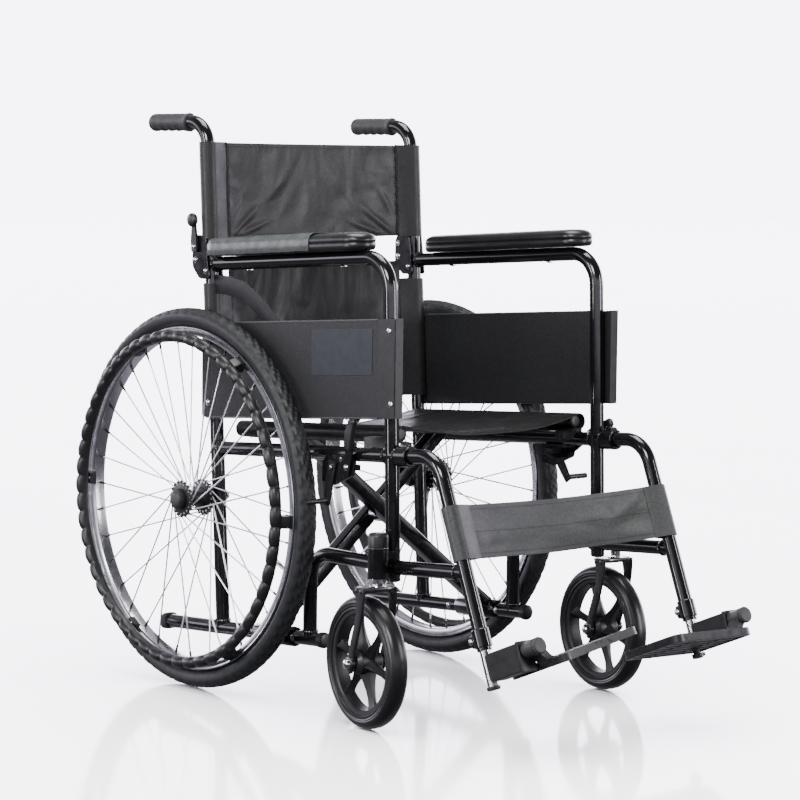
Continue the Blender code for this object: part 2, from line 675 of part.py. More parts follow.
def hoop_about(centre, axis, profile, sides):
    """A ring like hoop's, about an axis in the YZ plane."""
    up = axis.cross(X_AXIS)
    rings = []
    for a, b in disc(1.0 / cos(pi / sides), sides, pi / sides):
        rings.append([centre + axis * d + (X_AXIS * a + up * b) * r for d, r in profile])
    return loft(rings, closed=True)


def footrest(side):
    x = side * FRAME_X
    name = SIDE_NAME[side]
    down = leg_axis()
    end = at(x, *LEG_END)
    top = end + down * (FOOT_STEM_OUT - FOOT_STEM_LENGTH)
    stations = [(0.0, FOOT_STEM_R), (FOOT_STEM_LENGTH - 0.004, FOOT_STEM_R),
                (FOOT_STEM_LENGTH - 0.004, 0.0100), (FOOT_STEM_LENGTH, 0.0085)]
    stem = turned(top, down, stations, 14)
    name_part(stem, f"footrest_stem_{name}", CHROME, end)

    inner, outer = x - 0.0135, x + 0.0135
    outline = [(0.000, 0.009), (0.004, 0.005), (0.070, 0.005), (0.0745, 0.010),
               (0.0745, 0.044), (0.070, 0.049), (0.008, 0.049), (0.000, 0.044)]
    block = loft([[foot_point(at_x, a, u) for a, u in outline] for at_x in (inner, outer)])
    stem_hole = turned(end - down * 0.02, down, [(0.0, FOOT_STEM_R + GAP), (0.12, FOOT_STEM_R + GAP)], 14)
    pin = turned(foot_point(x, 0.060, PIN_LIFT), FOOT_AHEAD, [(0.0, PIN_R), (0.0500, PIN_R)], 12)
    soften(block, 0.003)
    weld(block, pin)
    cut(block, stem_hole)
    hinge = foot_point(x, 0.0, PIN_LIFT)
    name_part(block, f"footrest_block_{name}", PLASTIC, end)
    footplate(side, x, hinge)


def footplate(side, x, hinge):
    """Slatted plate with a barrel on the hinge pin."""
    bore = PIN_R + 0.0006
    profile = [(BARREL_START, bore), (BARREL_END, bore), (BARREL_END, 0.0120), (BARREL_START, 0.0120)]
    barrel = hoop_about(hinge, FOOT_AHEAD, profile, 16)
    inward = -side
    outer, inner = x + inward * 0.0150, x + inward * (0.0150 + PLATE_WIDTH)
    corner = 0.014
    heel, toe = 0.004, PLATE_LENGTH
    shape = [(outer, heel), (outer, toe), (inner - inward * corner, toe),
             (inner, toe - corner), (inner, heel + corner), (inner - inward * corner, heel)]
    plate = loft([[foot_point(px, a, up) for px, a in shape] for up in (0.0, PLATE_THICK)])
    riser = [(x, 0.0270), (x, 0.0225), (outer + inward * 0.002, 0.004), (outer + inward * 0.020, 0.004),
             (outer + inward * 0.020, 0.0115), (x + inward * 0.0105, 0.0400)]
    ends = (BARREL_START + 0.0008, BARREL_END - 0.0008)
    arm = loft([[foot_point(px, a, up) for px, up in riser] for a in ends])
    weld(barrel, arm, plate)
    cut(barrel, turned(hinge, FOOT_AHEAD, [(BARREL_START - 0.02, bore), (BARREL_END + 0.02, bore)], 16))
    slots = []
    low, high = outer + inward * 0.026, inner - inward * 0.014
    for i in range(PLATE_SLOTS):
        ahead = 0.020 + (PLATE_LENGTH - 0.034) * i / PLATE_SLOTS
        corners = ((low, ahead), (high, ahead), (high, ahead + 0.012), (low, ahead + 0.012))
        slots.append(loft([[foot_point(px, a, up) for px, a in corners] for up in (-0.01, 0.03)]))
    cut(barrel, *slots)
    roll = Matrix.Rotation(-side * PLATE_ROLL[side], 4, FOOT_AHEAD)
    barrel.data.transform(Matrix.Translation(hinge) @ roll @ Matrix.Translation(-hinge))
    name_part(barrel, f"footplate_{SIDE_NAME[side]}", PLASTIC, hinge)


# ---- brake --------------------------------------------------------------------------------
def spun(outline, axis_point, angle):
    """A (back, z) outline turned about a point; a positive angle leans its top forward."""
    result = []
    for back, up in outline:
        result.append((axis_point[0] + back * cos(angle) - up * sin(angle),
                       axis_point[1] + back * sin(angle) + up * cos(angle)))
    return result


def rivet(side, middle):
    """A pin through the brake's bracket with a low head outside."""
    start = middle - X_AXIS * side * (BRACKET_THICK + GAP + 0.004)
    stations = [(0.0, 0.0032), (0.0105, 0.0032), (0.0106, 0.0055), (0.0125, 0.0045)]
    return turned(start, X_AXIS * side, stations, 12)


def brake(side):
    """Bracket on the side rail, hand lever and the shoe that presses on the tyre."""
    name = SIDE_NAME[side]
    inner = FRAME_X + BRACKET_OUT
    plate = prism([(-0.300, 0.360), (-0.300, 0.390), (-0.312, 0.402), (-0.366, 0.404), (-0.378, 0.392),
                   (-0.372, 0.374), (-0.330, 0.356)], side * inner, side * (inner + BRACKET_THICK))
    low_clamp = prism([(-0.325, 0.3790), (-0.355, 0.3790), (-0.355, 0.3875), (-0.325, 0.3875)],
                      side * (FRAME_X - 0.012), side * (inner + 0.001))
    bolt_start = at(side * (FRAME_X - 0.004), -0.340, 0.3735)
    bolt = turned(bolt_start, X_AXIS * side, [(0.0, 0.004), (0.022, 0.004)], 10)
    weld(plate, low_clamp, bolt)
    for middle in (BRAKE_LEVER_AXIS, BRAKE_SHOE_AXIS):
        start = at(side * (inner - 0.05), *middle)
        cut(plate, turned(start, X_AXIS * side, [(0.0, 0.0036), (0.10, 0.0036)], 12))
    rail = [at(side * FRAME_X, back, side_rail_z(back)) for back in (-0.28, -0.40)]
    cradle = tube(rail, TUBE_R + 0.0006, 16)
    cut(plate, cradle)
    name_part(plate, f"brake_bracket_{name}", BLACK_PAINT)

    face = inner + BRACKET_THICK + GAP
    lever_axis = at(side * face, *BRAKE_LEVER_AXIS)
    lean = BRAKE_LEVER_LEAN[side]
    blade = [(0.009, -0.012), (-0.009, -0.012), (-0.009, 0.012),
             (-0.0055, 0.048), (0.0055, 0.048), (0.009, 0.012)]
    lever = prism(spun(blade, BRAKE_LEVER_AXIS, lean), side * face, side * (face + 0.003))
    reach = BRAKE_LEVER_LENGTH[side]
    ends = [(0.0, 0.030), (0.0, 0.040), (0.0, reach - 0.011), (0.0, reach)]
    ends = spun(ends, BRAKE_LEVER_AXIS, lean)
    path = [at(side * (face + 0.0048), *end) for end in ends]
    handle = swept(path, rectangle(0.0095, 0.0180, 0.003), X_AXIS, [0.8, 1.0, 1.0, 0.7])
    weld(lever, handle, rivet(side, lever_axis))
    name_part(lever, f"brake_lever_{name}", PLASTIC, lever_axis)

    shoe_axis = at(side * face, *BRAKE_SHOE_AXIS)
    lean = BRAKE_SHOE_LEAN[side]
    arm = [(-0.009, 0.010), (0.009, 0.010), (0.008, -0.040),
           (0.006, -0.060), (-0.006, -0.060), (-0.008, -0.040)]
    shoe = prism(spun(arm, BRAKE_SHOE_AXIS, lean), side * face, side * (face + 0.003))
    rod_place = spun([(0.0, -0.053)], BRAKE_SHOE_AXIS, lean)[0]
    rod = turned(at(side * face, *rod_place), X_AXIS * side, [(0.001, 0.0045), (0.044, 0.0045)], 12)
    weld(shoe, rod, rivet(side, shoe_axis))
    name_part(shoe, f"brake_shoe_{name}", CHROME, shoe_axis)


# ---- soft parts ---------------------------------------------------------------------------
def seat():
    """Sling between the seat rails."""
    half = SEAT_RAIL_X - 0.0285
    ends = [in_fold(0.0, SEAT_RAIL_H + 0.006, end) for end in (-0.0540, -0.4600)]
    sling = swept(ends, rectangle(2.0 * half, 0.018, 0.004), X_AXIS)
    name_part(sling, "seat", FABRIC, in_fold(0.0, BRACE_PIVOT_H, BRACE_BACK))


def back_panel(name, low, high, origin):
    """Fabric between the two back posts, leaning with them."""
    half = FRAME_X - 0.0165
    middle = [(rear_post(1, z) + rear_post(-1, z)) / 2.0 for z in (low, high)]
    name_part(swept(middle, rectangle(2.0 * half, 0.006, 0.002), X_AXIS), name, FABRIC, origin)


def calf_strap():
    half = FRAME_X - TUBE_R - 0.0010
    down = leg_axis()
    end = at(0.0, *LEG_END)
    ends = [end - down * distance for distance in (0.134, 0.215)]
    name_part(swept(ends, rectangle(2.0 * half, 0.006, 0.001), X_AXIS), "calf_strap", FABRIC)


def clear_scene():
    for old in list(bpy.data.objects):
        bpy.data.objects.remove(old)


def build():
    clear_scene()
    for side in (-1, 1):
        side_frame(side)
        rail_tip(side)
        armrest_pad(side)
        side_panel(side)
        seat_saddle(side)
        back_cane(side)
        latch_lever(side)
        rear_wheel(side)
        caster(side)
        hanger(side)
        footrest(side)
        brake(side)
    cross_brace(-1, BRACE_OFFSET, "cross_brace_rear")
    cross_brace(1, -BRACE_OFFSET, "cross_brace_front")
    brace_bolt()
    seat()
    back_panel("back_lower", 0.4500, CANE_SPLIT_Z - 0.003, None)
    back_panel("back_upper", CANE_SPLIT_Z + 0.036, 0.8720, at(-FRAME_X, HINGE_BACK, CANE_SPLIT_Z))
    calf_strap()


build()
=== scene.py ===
import json
from math import atan, cos, exp, pi, radians, sin, tau

import bmesh
import bpy
from mathutils import Matrix, Vector, noise

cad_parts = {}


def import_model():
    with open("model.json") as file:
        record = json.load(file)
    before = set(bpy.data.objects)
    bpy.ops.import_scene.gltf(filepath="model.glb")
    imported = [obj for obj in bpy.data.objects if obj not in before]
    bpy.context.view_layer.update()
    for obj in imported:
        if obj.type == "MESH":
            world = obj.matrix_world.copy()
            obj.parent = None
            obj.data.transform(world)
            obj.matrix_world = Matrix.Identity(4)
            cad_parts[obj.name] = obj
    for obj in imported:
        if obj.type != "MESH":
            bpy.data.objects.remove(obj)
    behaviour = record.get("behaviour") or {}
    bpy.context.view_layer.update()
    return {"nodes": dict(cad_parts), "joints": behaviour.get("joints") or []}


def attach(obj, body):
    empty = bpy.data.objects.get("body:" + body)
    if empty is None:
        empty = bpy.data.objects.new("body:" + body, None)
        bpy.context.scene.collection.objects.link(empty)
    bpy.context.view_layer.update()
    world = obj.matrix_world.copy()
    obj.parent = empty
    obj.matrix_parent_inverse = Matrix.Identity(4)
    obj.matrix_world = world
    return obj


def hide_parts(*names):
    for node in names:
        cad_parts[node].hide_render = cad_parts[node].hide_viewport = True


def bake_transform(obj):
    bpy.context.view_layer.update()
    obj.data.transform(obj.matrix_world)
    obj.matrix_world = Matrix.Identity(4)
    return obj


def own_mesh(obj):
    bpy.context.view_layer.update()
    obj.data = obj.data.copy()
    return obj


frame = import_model()

# ---- the chair's main dimensions, in metres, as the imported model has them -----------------
JOINTS = {joint["name"]: joint for joint in frame["joints"]}
AXLE_Y = JOINTS["wheel_spin_right"]["pos_m"][1]
SIDE_NAME = {-1: "right", 1: "left"}
WHEEL_R = 0.305
WHEEL_X = 0.256
WHEEL_Z = JOINTS["wheel_spin_right"]["pos_m"][2]
TYRE_HALF = 0.0176
TYRE_INNER_R = 0.2745
RIM_INNER_R = 0.2615
RIM_HALF = 0.0125
HANDRIM_R = 0.2595
HANDRIM_BAR_R = 0.0082
HANDRIM_X = 0.29
HANDRIM_KNUCKLE = 0.004
HANDRIM_WAVES = 54
HANDRIM_TABS = 6
HANDRIM_TAB_START = radians(2.0)
SPOKES = 36
SPOKE_R = 0.0012
SPOKE_LEAN = radians(58.0)
FLANGE_R = 0.027
FLANGE_HALF = 0.021

FRAME_X = 0.215
TUBE_R = 0.011
TUBE_SIDES = 28
RAKE = atan(0.0585)
RAIL_MID_Z = 0.099
SIDE_RAIL_MID_Z = 0.3967
ARM_Z = 0.6793
FRONT_POST = (-0.4435, 0.3437, 0.03)    # back, at the height, lean
REAR_POST = (-0.0132, 0.36, 0.06)
FRONT_POST_END_Z = 0.223
MIDDLE_TUBE_Z = 0.2444
STUB_BACK = -0.2515
HINGE_Z = 0.685
POST_TOP_Z = 0.692
HINGE_BACK = 0.03
PAD_REAR = {-1: -0.01, 1: -0.0375}
PAD_LENGTH = 0.374
GRIP_Z = 0.9055
GRIP_TIP_BACK = 0.1667
GRIP_LENGTH = 0.102
GRIP_R = 0.0138

CASTER_R = 0.1
CASTER_HALF = 0.0155
CASTER_RIM_R = 0.0822
CASTER_X = 0.25
CASTER_BACK = -0.4529
CASTER_TRAIL = 0.03
CASTER_YAW = {-1: -0.152, 1: -0.107}
HOUSING_R = 0.0154

BRACE_BACK = -0.17
BRACE_OFFSET = 0.025
BRACE_PIVOT_H = 0.1727
SEAT_RAIL_H = 0.32
SEAT_RAIL_X = (SEAT_RAIL_H - BRACE_PIVOT_H) * FRAME_X / BRACE_PIVOT_H

LEG_TOP = (-0.4688, 0.4117)
LEG_KNEE = (-0.544, 0.4175)
LEG_END = (-0.6505, 0.1465)
TIE_START = (-0.4602, 0.2442)
TIE_END = (-0.604, 0.2535)
FOOT_TILT = radians(22.0)
FOOT_HEEL = (-0.68, 0.1)
PLATE_ROLL = {-1: radians(9.0), 1: radians(2.0)}
PLATE_WIDTH = 0.163
PLATE_LENGTH = 0.125
PLATE_THICK = 0.012
PIN_LIFT = 0.0345

LEVER_LEAN = {-1: radians(14.0), 1: radians(61.0)}
LEVER_LENGTH = {-1: 0.078, 1: 0.106}

BACK_HALF = 0.1815        # half the width of a back panel
BACK_SEAM = 0.18        # where the panel is sewn to its sleeves
CLOTH_THICK = 0.0018
WEIGHT_SHARE = 0.04       # the slings are stretched, so little of their weight shows
# Each crease: where its middle is on the panel (0 to 1 each way), its direction, width, length and height.
CREASES = ((0.1, 0.16, 0.85, 0.02, 0.15, 1.0), (0.16, 0.1, 0.45, 0.016, 0.12, 0.7),
           (0.07, 0.34, 1.15, 0.018, 0.12, 0.6), (0.9, 0.15, 2.3, 0.02, 0.15, 1.0),
           (0.84, 0.08, 2.7, 0.016, 0.12, 0.7), (0.94, 0.36, 1.95, 0.018, 0.12, 0.6),
           (0.3, 0.52, 1.05, 0.045, 0.22, 0.5), (0.7, 0.42, 2.0, 0.045, 0.22, 0.5))

CAMERA_AZIMUTH = radians(-40.9)
CAMERA_ELEVATION = radians(5.03)
CAMERA_ROLL = radians(0.6439)
CAMERA_DISTANCE = 4.2686
CAMERA_TARGET = Vector((-0.03467, AXLE_Y - 0.25, 0.47))
CAMERA_LENS = 121.43

FLOOR_HALF = 30.0
FLOOR_POWER = 21.0
WORLD_STRENGTH = 8.2
WORLD_SEEN = 0.94         # how bright the world looks where nothing is in front of it
WORLD_FRONT = 0.22        # how bright it is opposite the backdrop
WORLD_BELOW = 0.045
WORLD_ABOVE = 0.055
BACKDROP_SIDE = (0.655, 0.756, 0.0)

X_AXIS = Vector((1.0, 0.0, 0.0))
Y_AXIS = Vector((0.0, 1.0, 0.0))
Z_AXIS = Vector((0.0, 0.0, 1.0))
FOLD_AXIS = Vector((0.0, -cos(RAKE), sin(RAKE)))
FOLD_UP = Vector((0.0, sin(RAKE), cos(RAKE)))
FOOT_AHEAD = Vector((0.0, -cos(FOOT_TILT), sin(FOOT_TILT)))
FOOT_UP = Vector((0.0, sin(FOOT_TILT), cos(FOOT_TILT)))


# ---- places -------------------------------------------------------------------------------
def at(x, back, z):
    return Vector((x, AXLE_Y + back, z))


def rail_z(back):
    return RAIL_MID_Z - (back + 0.1) * FOLD_UP.y / FOLD_UP.z


def side_rail_z(back):
    return SIDE_RAIL_MID_Z - (back + 0.22) * FOLD_UP.y / FOLD_UP.z


def arm_z(back):
    return ARM_Z - REAR_POST[2] * back


def post_back(post, z):
    return post[0] + post[2] * (z - post[1])


def rear_post(side, z):
    return at(side * FRAME_X, post_back(REAR_POST, z), z)


def front_post(side, z):
    return at(side * FRAME_X, post_back(FRONT_POST, z), z)


def in_fold(x, height, back):
    return at(x, back, rail_z(back)) + FOLD_UP * height


def leg_axis():
    return (at(0.0, *LEG_END) - at(0.0, *LEG_KNEE)).normalized()


def foot_point(x, ahead, up):
    return at(x, *FOOT_HEEL) + FOOT_AHEAD * ahead + FOOT_UP * up


# ---- shapes, added to one bmesh per piece ---------------------------------------------------
def disc(radius, sides):
    steps = (tau * i / sides for i in range(sides))
    return [(radius * cos(a), radius * sin(a)) for a in steps]


def rounded(width, depth, radius, steps=4):
    """A rectangle's outline with round corners."""
    outline = []
    for quarter, (sx, sy) in enumerate(((1, 1), (-1, 1), (-1, -1), (1, -1))):
        for step in range(steps + 1):
            a = pi / 2.0 * (quarter + step / steps)
            outline.append((sx * (width / 2.0 - radius) + radius * cos(a),
                            sy * (depth / 2.0 - radius) + radius * sin(a)))
    return outline


def loft(shape, rings, closed=False, material=0):
    """A skin from ring to ring, capped at both ends, or joined end to start where it is closed."""
    rows = [[shape.verts.new(point) for point in ring] for ring in rings]
    pairs = list(zip(rows, rows[1:]))
    faces = []
    if closed:
        pairs.append((rows[-1], rows[0]))
    else:
        faces.append(shape.faces.new(rows[0]))
        faces.append(shape.faces.new(rows[-1]))
    count = len(rows[0])
    for low, high in pairs:
        for i in range(count):
            j = (i + 1) % count
            faces.append(shape.faces.new((low[i], low[j], high[j], high[i])))
    for face in faces:
        face.material_index = material
    bmesh.ops.recalc_face_normals(shape, faces=faces)


def swept(shape, points, outline, side=X_AXIS, scales=None, material=0):
    """An outline carried along points. Its first coordinate stays as near to side as it can."""
    rings = []
    last = len(points) - 1
    for i, point in enumerate(points):
        ahead = points[min(i + 1, last)] - points[max(i - 1, 0)]
        ahead.normalize()
        across = (side - ahead * side.dot(ahead)).normalized()
        up = ahead.cross(across)
        grow = scales[i] if scales else 1.0
        rings.append([point + (across * a + up * b) * grow for a, b in outline])
    loft(shape, rings, material=material)


def bend(points, radius, steps=14):
    """The path through points with each corner bent to a radius."""
    path = [points[0]]
    for before, corner, after in zip(points, points[1:], points[2:]):
        back = (before - corner).normalized()
        ahead = (after - corner).normalized()
        half = back.angle(ahead) / 2.0
        reach = radius * cos(half) / sin(half)
        centre = corner + (back + ahead).normalized() * (radius / sin(half))
        start = corner + back * reach - centre
        axis = start.cross(corner + ahead * reach - centre).normalized()
        for step in range(steps + 1):
            path.append(centre + Matrix.Rotation((pi - 2.0 * half) * step / steps, 3, axis) @ start)
    path.append(points[-1])
    return path


def tube(shape, points, radius=TUBE_R, sides=TUBE_SIDES):
    swept(shape, points, disc(radius, sides))


def axes_of(axis):
    across = axis.orthogonal().normalized() if abs(axis.z) > 0.9 else axis.cross(Z_AXIS).normalized()
    return across, axis.cross(across)


def turned(shape, centre, axis, stations, sides=28):
    """A solid of (distance along the axis, radius) stations."""
    across, up = axes_of(axis)
    rings = []
    for distance, radius in stations:
        middle = centre + axis * distance
        rings.append([middle + across * a + up * b for a, b in disc(radius, sides)])
    loft(shape, rings)


def hoop(shape, centre, axis, profile, sides):
    """A closed (distance along the axis, radius) profile taken once round the axis."""
    across, up = axes_of(axis)
    rings = []
    for a, b in disc(1.0, sides):
        rings.append([centre + axis * d + (across * a + up * b) * r for d, r in profile])
    loft(shape, rings, closed=True)


def plate(shape, outline, low, high):
    """A (back, z) outline made solid between two x values."""
    loft(shape, [[at(x, back, z) for back, z in outline] for x in (low, high)])


def round_corners(outline, radius, steps=5):
    """An outline of (a, b) points with each corner rounded off."""
    points = [Vector((a, b)) for a, b in outline]
    result = []
    for i, corner in enumerate(points):
        before, after = points[i - 1], points[(i + 1) % len(points)]
        reach = min(radius, (before - corner).length * 0.45, (after - corner).length * 0.45)
        start = corner + (before - corner).normalized() * reach
        end = corner + (after - corner).normalized() * reach
        for step in range(steps + 1):
            t = step / steps
            point = start * (1 - t) ** 2 + corner * 2 * t * (1 - t) + end * t ** 2
            result.append((point.x, point.y))
    return result


def bead(shape, centre, axis, radius=TUBE_R, thickness=0.0022):
    """The raised ring of weld where one tube meets another."""
    across, up = axes_of(axis)
    rings = []
    for i, (a, b) in enumerate(disc(1.0, 56)):
        swell = thickness * (1.0 + 0.22 * sin(i * 1.4) + 0.12 * sin(i * 3.1))
        profile = disc(swell, 8)
        rings.append([centre + axis * d + (across * a + up * b) * (radius + r) for d, r in profile])
    loft(shape, rings, closed=True)


def screw(shape, centre, axis, radius=0.0045, height=0.0024):
    """A pan-head screw with a washer and a round recess."""
    recess = radius * 0.34
    stations = [(0.0, radius * 1.35), (0.0006, radius * 1.35), (0.0006, radius),
                (height * 0.6, radius * 0.97), (height * 0.9, radius * 0.75), (height, recess * 1.15),
                (height * 0.55, recess), (height * 0.5, recess * 0.2)]
    turned(shape, centre, axis, stations, 20)


def hex_nut(shape, centre, axis, across_flats=0.01, height=0.005):
    radius = across_flats / 2.0 / cos(pi / 6.0)
    stations = [(0.0, radius * 0.93), (height * 0.15, radius), (height * 0.85, radius),
                (height, radius * 0.9)]
    turned(shape, centre, axis, stations, 6)


# ---- turning a bmesh into a piece ---------------------------------------------------------
def piece(shape, name, materials, body, nodes=(), bevel=0.0, sharp=34.0):
    """One visible piece of the chair: what it rides on, which CAD nodes it stands for, and its finish."""
    mesh = bpy.data.meshes.new(name)
    shape.to_mesh(mesh)
    shape.free()
    result = bpy.data.objects.new(name, mesh)
    bpy.context.scene.collection.objects.link(result)
    for material in materials if isinstance(materials, (list, tuple)) else [materials]:
        mesh.materials.append(material)
    mesh.shade_smooth()
    mesh.set_sharp_from_angle(angle=radians(sharp))
    if bevel:
        edges = result.modifiers.new("edges", "BEVEL")
        edges.width = bevel
        edges.segments = 3
        edges.limit_method = "ANGLE"
        edges.angle_limit = radians(38.0)
        edges.harden_normals = True
    if body:
        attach(result, body)
    if nodes:
        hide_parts(*nodes)
    return result


def finer(node, material, body, bevel=0.0007):
    """A CAD node's own shape with its flat faces cleaned up and its edges rounded."""
    shape = bmesh.new()
    shape.from_mesh(frame["nodes"][node].data)
    bmesh.ops.remove_doubles(shape, verts=shape.verts, dist=0.00002)
    bmesh.ops.dissolve_limit(shape, angle_limit=radians(1.0), verts=shape.verts, edges=shape.edges)
    piece(shape, f"{node}_shell", material, body, [node], bevel)


# ---- materials ----------------------------------------------------------------------------
def new_material(name, colour, roughness, metallic=0.0, **sockets):
    material = bpy.data.materials.new(name)
    material.use_nodes = True
    shader = material.node_tree.nodes["Principled BSDF"]
    shader.inputs["Base Color"].default_value = (*colour, 1.0)
    shader.inputs["Roughness"].default_value = roughness
    shader.inputs["Metallic"].default_value = metallic
    for socket, value in sockets.items():
        shader.inputs[socket.replace("_", " ")].default_value = value
    return material


def add_node(material, kind, **inputs):
    made = material.node_tree.nodes.new(kind)
    for name, value in inputs.items():
        made.inputs[name.replace("_", " ")].default_value = value
    return made


def coordinates(material, stretch=(1.0, 1.0, 1.0)):
    place = add_node(material, "ShaderNodeTexCoord")
    mapping = add_node(material, "ShaderNodeMapping")
    mapping.inputs["Scale"].default_value = stretch
    material.node_tree.links.new(place.outputs["Object"], mapping.inputs["Vector"])
    return mapping.outputs["Vector"]


def noise_of(material, scale, detail=2.0, stretch=(1.0, 1.0, 1.0), roughness=0.5):
    made = add_node(material, "ShaderNodeTexNoise", Scale=scale, Detail=detail, Roughness=roughness)
    material.node_tree.links.new(coordinates(material, stretch), made.inputs["Vector"])
    return made.outputs["Fac"]


def spread(material, value, low, high, start=0.3, end=0.7):
    """A value moved from one range to another."""
    made = add_node(material, "ShaderNodeMapRange")
    made.inputs["From Min"].default_value = start
    made.inputs["From Max"].default_value = end
    made.inputs["To Min"].default_value = low
    made.inputs["To Max"].default_value = high
    material.node_tree.links.new(value, made.inputs["Value"])
    return made.outputs["Result"]


def set_roughness(material, value, low, high, start=0.3, end=0.7):
    shader = material.node_tree.nodes["Principled BSDF"]
    result = spread(material, value, low, high, start, end)
    material.node_tree.links.new(result, shader.inputs["Roughness"])


def set_colours(material, value, dark, light, start=0.3, end=0.7):
    shader = material.node_tree.nodes["Principled BSDF"]
    ramp = add_node(material, "ShaderNodeValToRGB")
    ramp.color_ramp.elements[0].position = start
    ramp.color_ramp.elements[0].color = (*dark, 1.0)
    ramp.color_ramp.elements[1].position = end
    ramp.color_ramp.elements[1].color = (*light, 1.0)
    material.node_tree.links.new(value, ramp.inputs["Fac"])
    material.node_tree.links.new(ramp.outputs["Color"], shader.inputs["Base Color"])


def add_bump(material, value, strength, distance):
    """Each bump is laid over the one before it."""
    shader = material.node_tree.nodes["Principled BSDF"]
    links = material.node_tree.links
    made = add_node(material, "ShaderNodeBump", Strength=strength, Distance=distance)
    links.new(value, made.inputs["Height"])
    if shader.inputs["Normal"].links:
        links.new(shader.inputs["Normal"].links[0].from_socket, made.inputs["Normal"])
    links.new(made.outputs["Normal"], shader.inputs["Normal"])


def weave_height(material, pitch, directions):
    """Crossing threads: two bands multiplied."""
    heights = []
    for direction in directions:
        scale = tau / (20.0 * pitch)
        wave = add_node(material, "ShaderNodeTexWave", Scale=scale, Distortion=0.4, Detail=1.0)
        wave.wave_type = "BANDS"
        wave.bands_direction = direction
        material.node_tree.links.new(coordinates(material), wave.inputs["Vector"])
        heights.append(wave.outputs["Fac"])
    mix = add_node(material, "ShaderNodeMath")
    mix.operation = "MULTIPLY"
    for value, socket in zip(heights, mix.inputs):
        material.node_tree.links.new(value, socket)
    return mix.outputs["Value"]


def painted_steel(name, colour, low, high):
    material = new_material(name, colour, low, Coat_Weight=0.4, Coat_Roughness=0.06)
    set_roughness(material, noise_of(material, 60.0, 3.0), low, high)
    darker = tuple(0.75 * c for c in colour)
    set_colours(material, noise_of(material, 25.0, 3.0), darker, colour)
    add_bump(material, noise_of(material, 380.0, 1.0), 0.03, 0.0003)
    return material


def plastic(name, colour, low, high, grain=1400.0, strength=0.12):
    material = new_material(name, colour, low)
    set_roughness(material, noise_of(material, 90.0, 3.0), low, high)
    darker = tuple(0.72 * c for c in colour)
    set_colours(material, noise_of(material, 40.0, 4.0), darker, colour)
    add_bump(material, noise_of(material, grain, 1.0), strength, 0.0003)
    return material


def speckled(name, dark, light, scale):
    material = new_material(name, dark, 0.5, Specular_IOR_Level=0.3)
    set_colours(material, noise_of(material, scale, 2.0, roughness=0.7), dark, light, 0.4, 0.62)
    set_roughness(material, noise_of(material, 220.0, 2.0), 0.42, 0.6)
    add_bump(material, noise_of(material, scale * 0.8, 2.0), 0.35, 0.0005)
    return material


def bright_metal(name, colour, low, high, stretch=(1.0, 1.0, 1.0), scratches=0.05):
    material = new_material(name, colour, low, 1.0)
    set_roughness(material, noise_of(material, 70.0, 4.0), low, high)
    dull = tuple(0.92 * c for c in colour)
    set_colours(material, noise_of(material, 30.0, 4.0), dull, colour, 0.25, 0.6)
    add_bump(material, noise_of(material, 300.0, 3.0, stretch), scratches, 0.0003)
    return material


def rubber(name, colour, low, high, strength=0.25):
    material = new_material(name, colour, low)
    lighter = tuple(1.3 * c for c in colour)
    set_colours(material, noise_of(material, 18.0, 5.0), colour, lighter)
    set_roughness(material, noise_of(material, 120.0, 4.0), low, high)
    add_bump(material, noise_of(material, 900.0, 2.0), strength, 0.0004)
    return material


def nylon(name, dark, light, pitch, directions, sheen):
    """Coated woven nylon with a soft, slightly uneven gloss."""
    material = new_material(name, dark, 0.5, Sheen_Weight=sheen, Sheen_Roughness=0.35,
                            Specular_IOR_Level=0.3)
    set_colours(material, noise_of(material, 260.0, 4.0, roughness=0.7), dark, light, 0.3, 0.72)
    set_roughness(material, noise_of(material, 35.0, 3.0), 0.33, 0.45)
    add_bump(material, weave_height(material, pitch, directions), 0.16, 0.0003)
    add_bump(material, noise_of(material, 420.0, 2.0), 0.2, 0.0005)
    return material


def vinyl(name, colour):
    material = new_material(name, colour, 0.3, Coat_Weight=0.12, Coat_Roughness=0.28)
    cells = add_node(material, "ShaderNodeTexVoronoi", Scale=620.0)
    cells.feature = "DISTANCE_TO_EDGE"
    material.node_tree.links.new(coordinates(material), cells.inputs["Vector"])
    set_roughness(material, noise_of(material, 45.0, 4.0), 0.26, 0.4)
    set_colours(material, noise_of(material, 30.0, 4.0), tuple(0.7 * c for c in colour), colour)
    add_bump(material, cells.outputs["Distance"], 0.25, 0.0004)
    return material


PAINT = painted_steel("black_powder_coat", (0.0065, 0.0065, 0.0075), 0.1, 0.2)
SATIN_PAINT = painted_steel("satin_black_steel", (0.013, 0.013, 0.014), 0.24, 0.36)
CHROME = bright_metal("bright_plating", (0.8, 0.81, 0.82), 0.07, 0.2)
SPOKE_STEEL = bright_metal("spoke_steel", (0.92, 0.93, 0.94), 0.3, 0.42)
ALLOY = bright_metal("rim_alloy", (0.86, 0.87, 0.9), 0.2, 0.28, (4.0, 1.0, 1.0), 0.03)
TYRE = rubber("tyre_rubber", (0.012, 0.013, 0.0145), 0.46, 0.62)
SOLID_TYRE = rubber("solid_caster_rubber", (0.009, 0.0095, 0.01), 0.28, 0.36, 0.02)
BLACK_RUBBER = rubber("black_rubber", (0.014, 0.014, 0.015), 0.5, 0.7)
GRIP_RUBBER = rubber("grip_rubber", (0.03, 0.03, 0.032), 0.46, 0.62)
PLASTIC = plastic("moulded_plastic", (0.015, 0.015, 0.016), 0.3, 0.44)
HANDRIM_PLASTIC = plastic("handrim_plastic", (0.016, 0.0165, 0.018), 0.34, 0.44, 700.0, 0.05)
WHEEL_PLASTIC = plastic("caster_wheel_plastic", (0.014, 0.014, 0.015), 0.34, 0.48)
KNOB_PLASTIC = plastic("knob_plastic", (0.045, 0.046, 0.045), 0.42, 0.58)
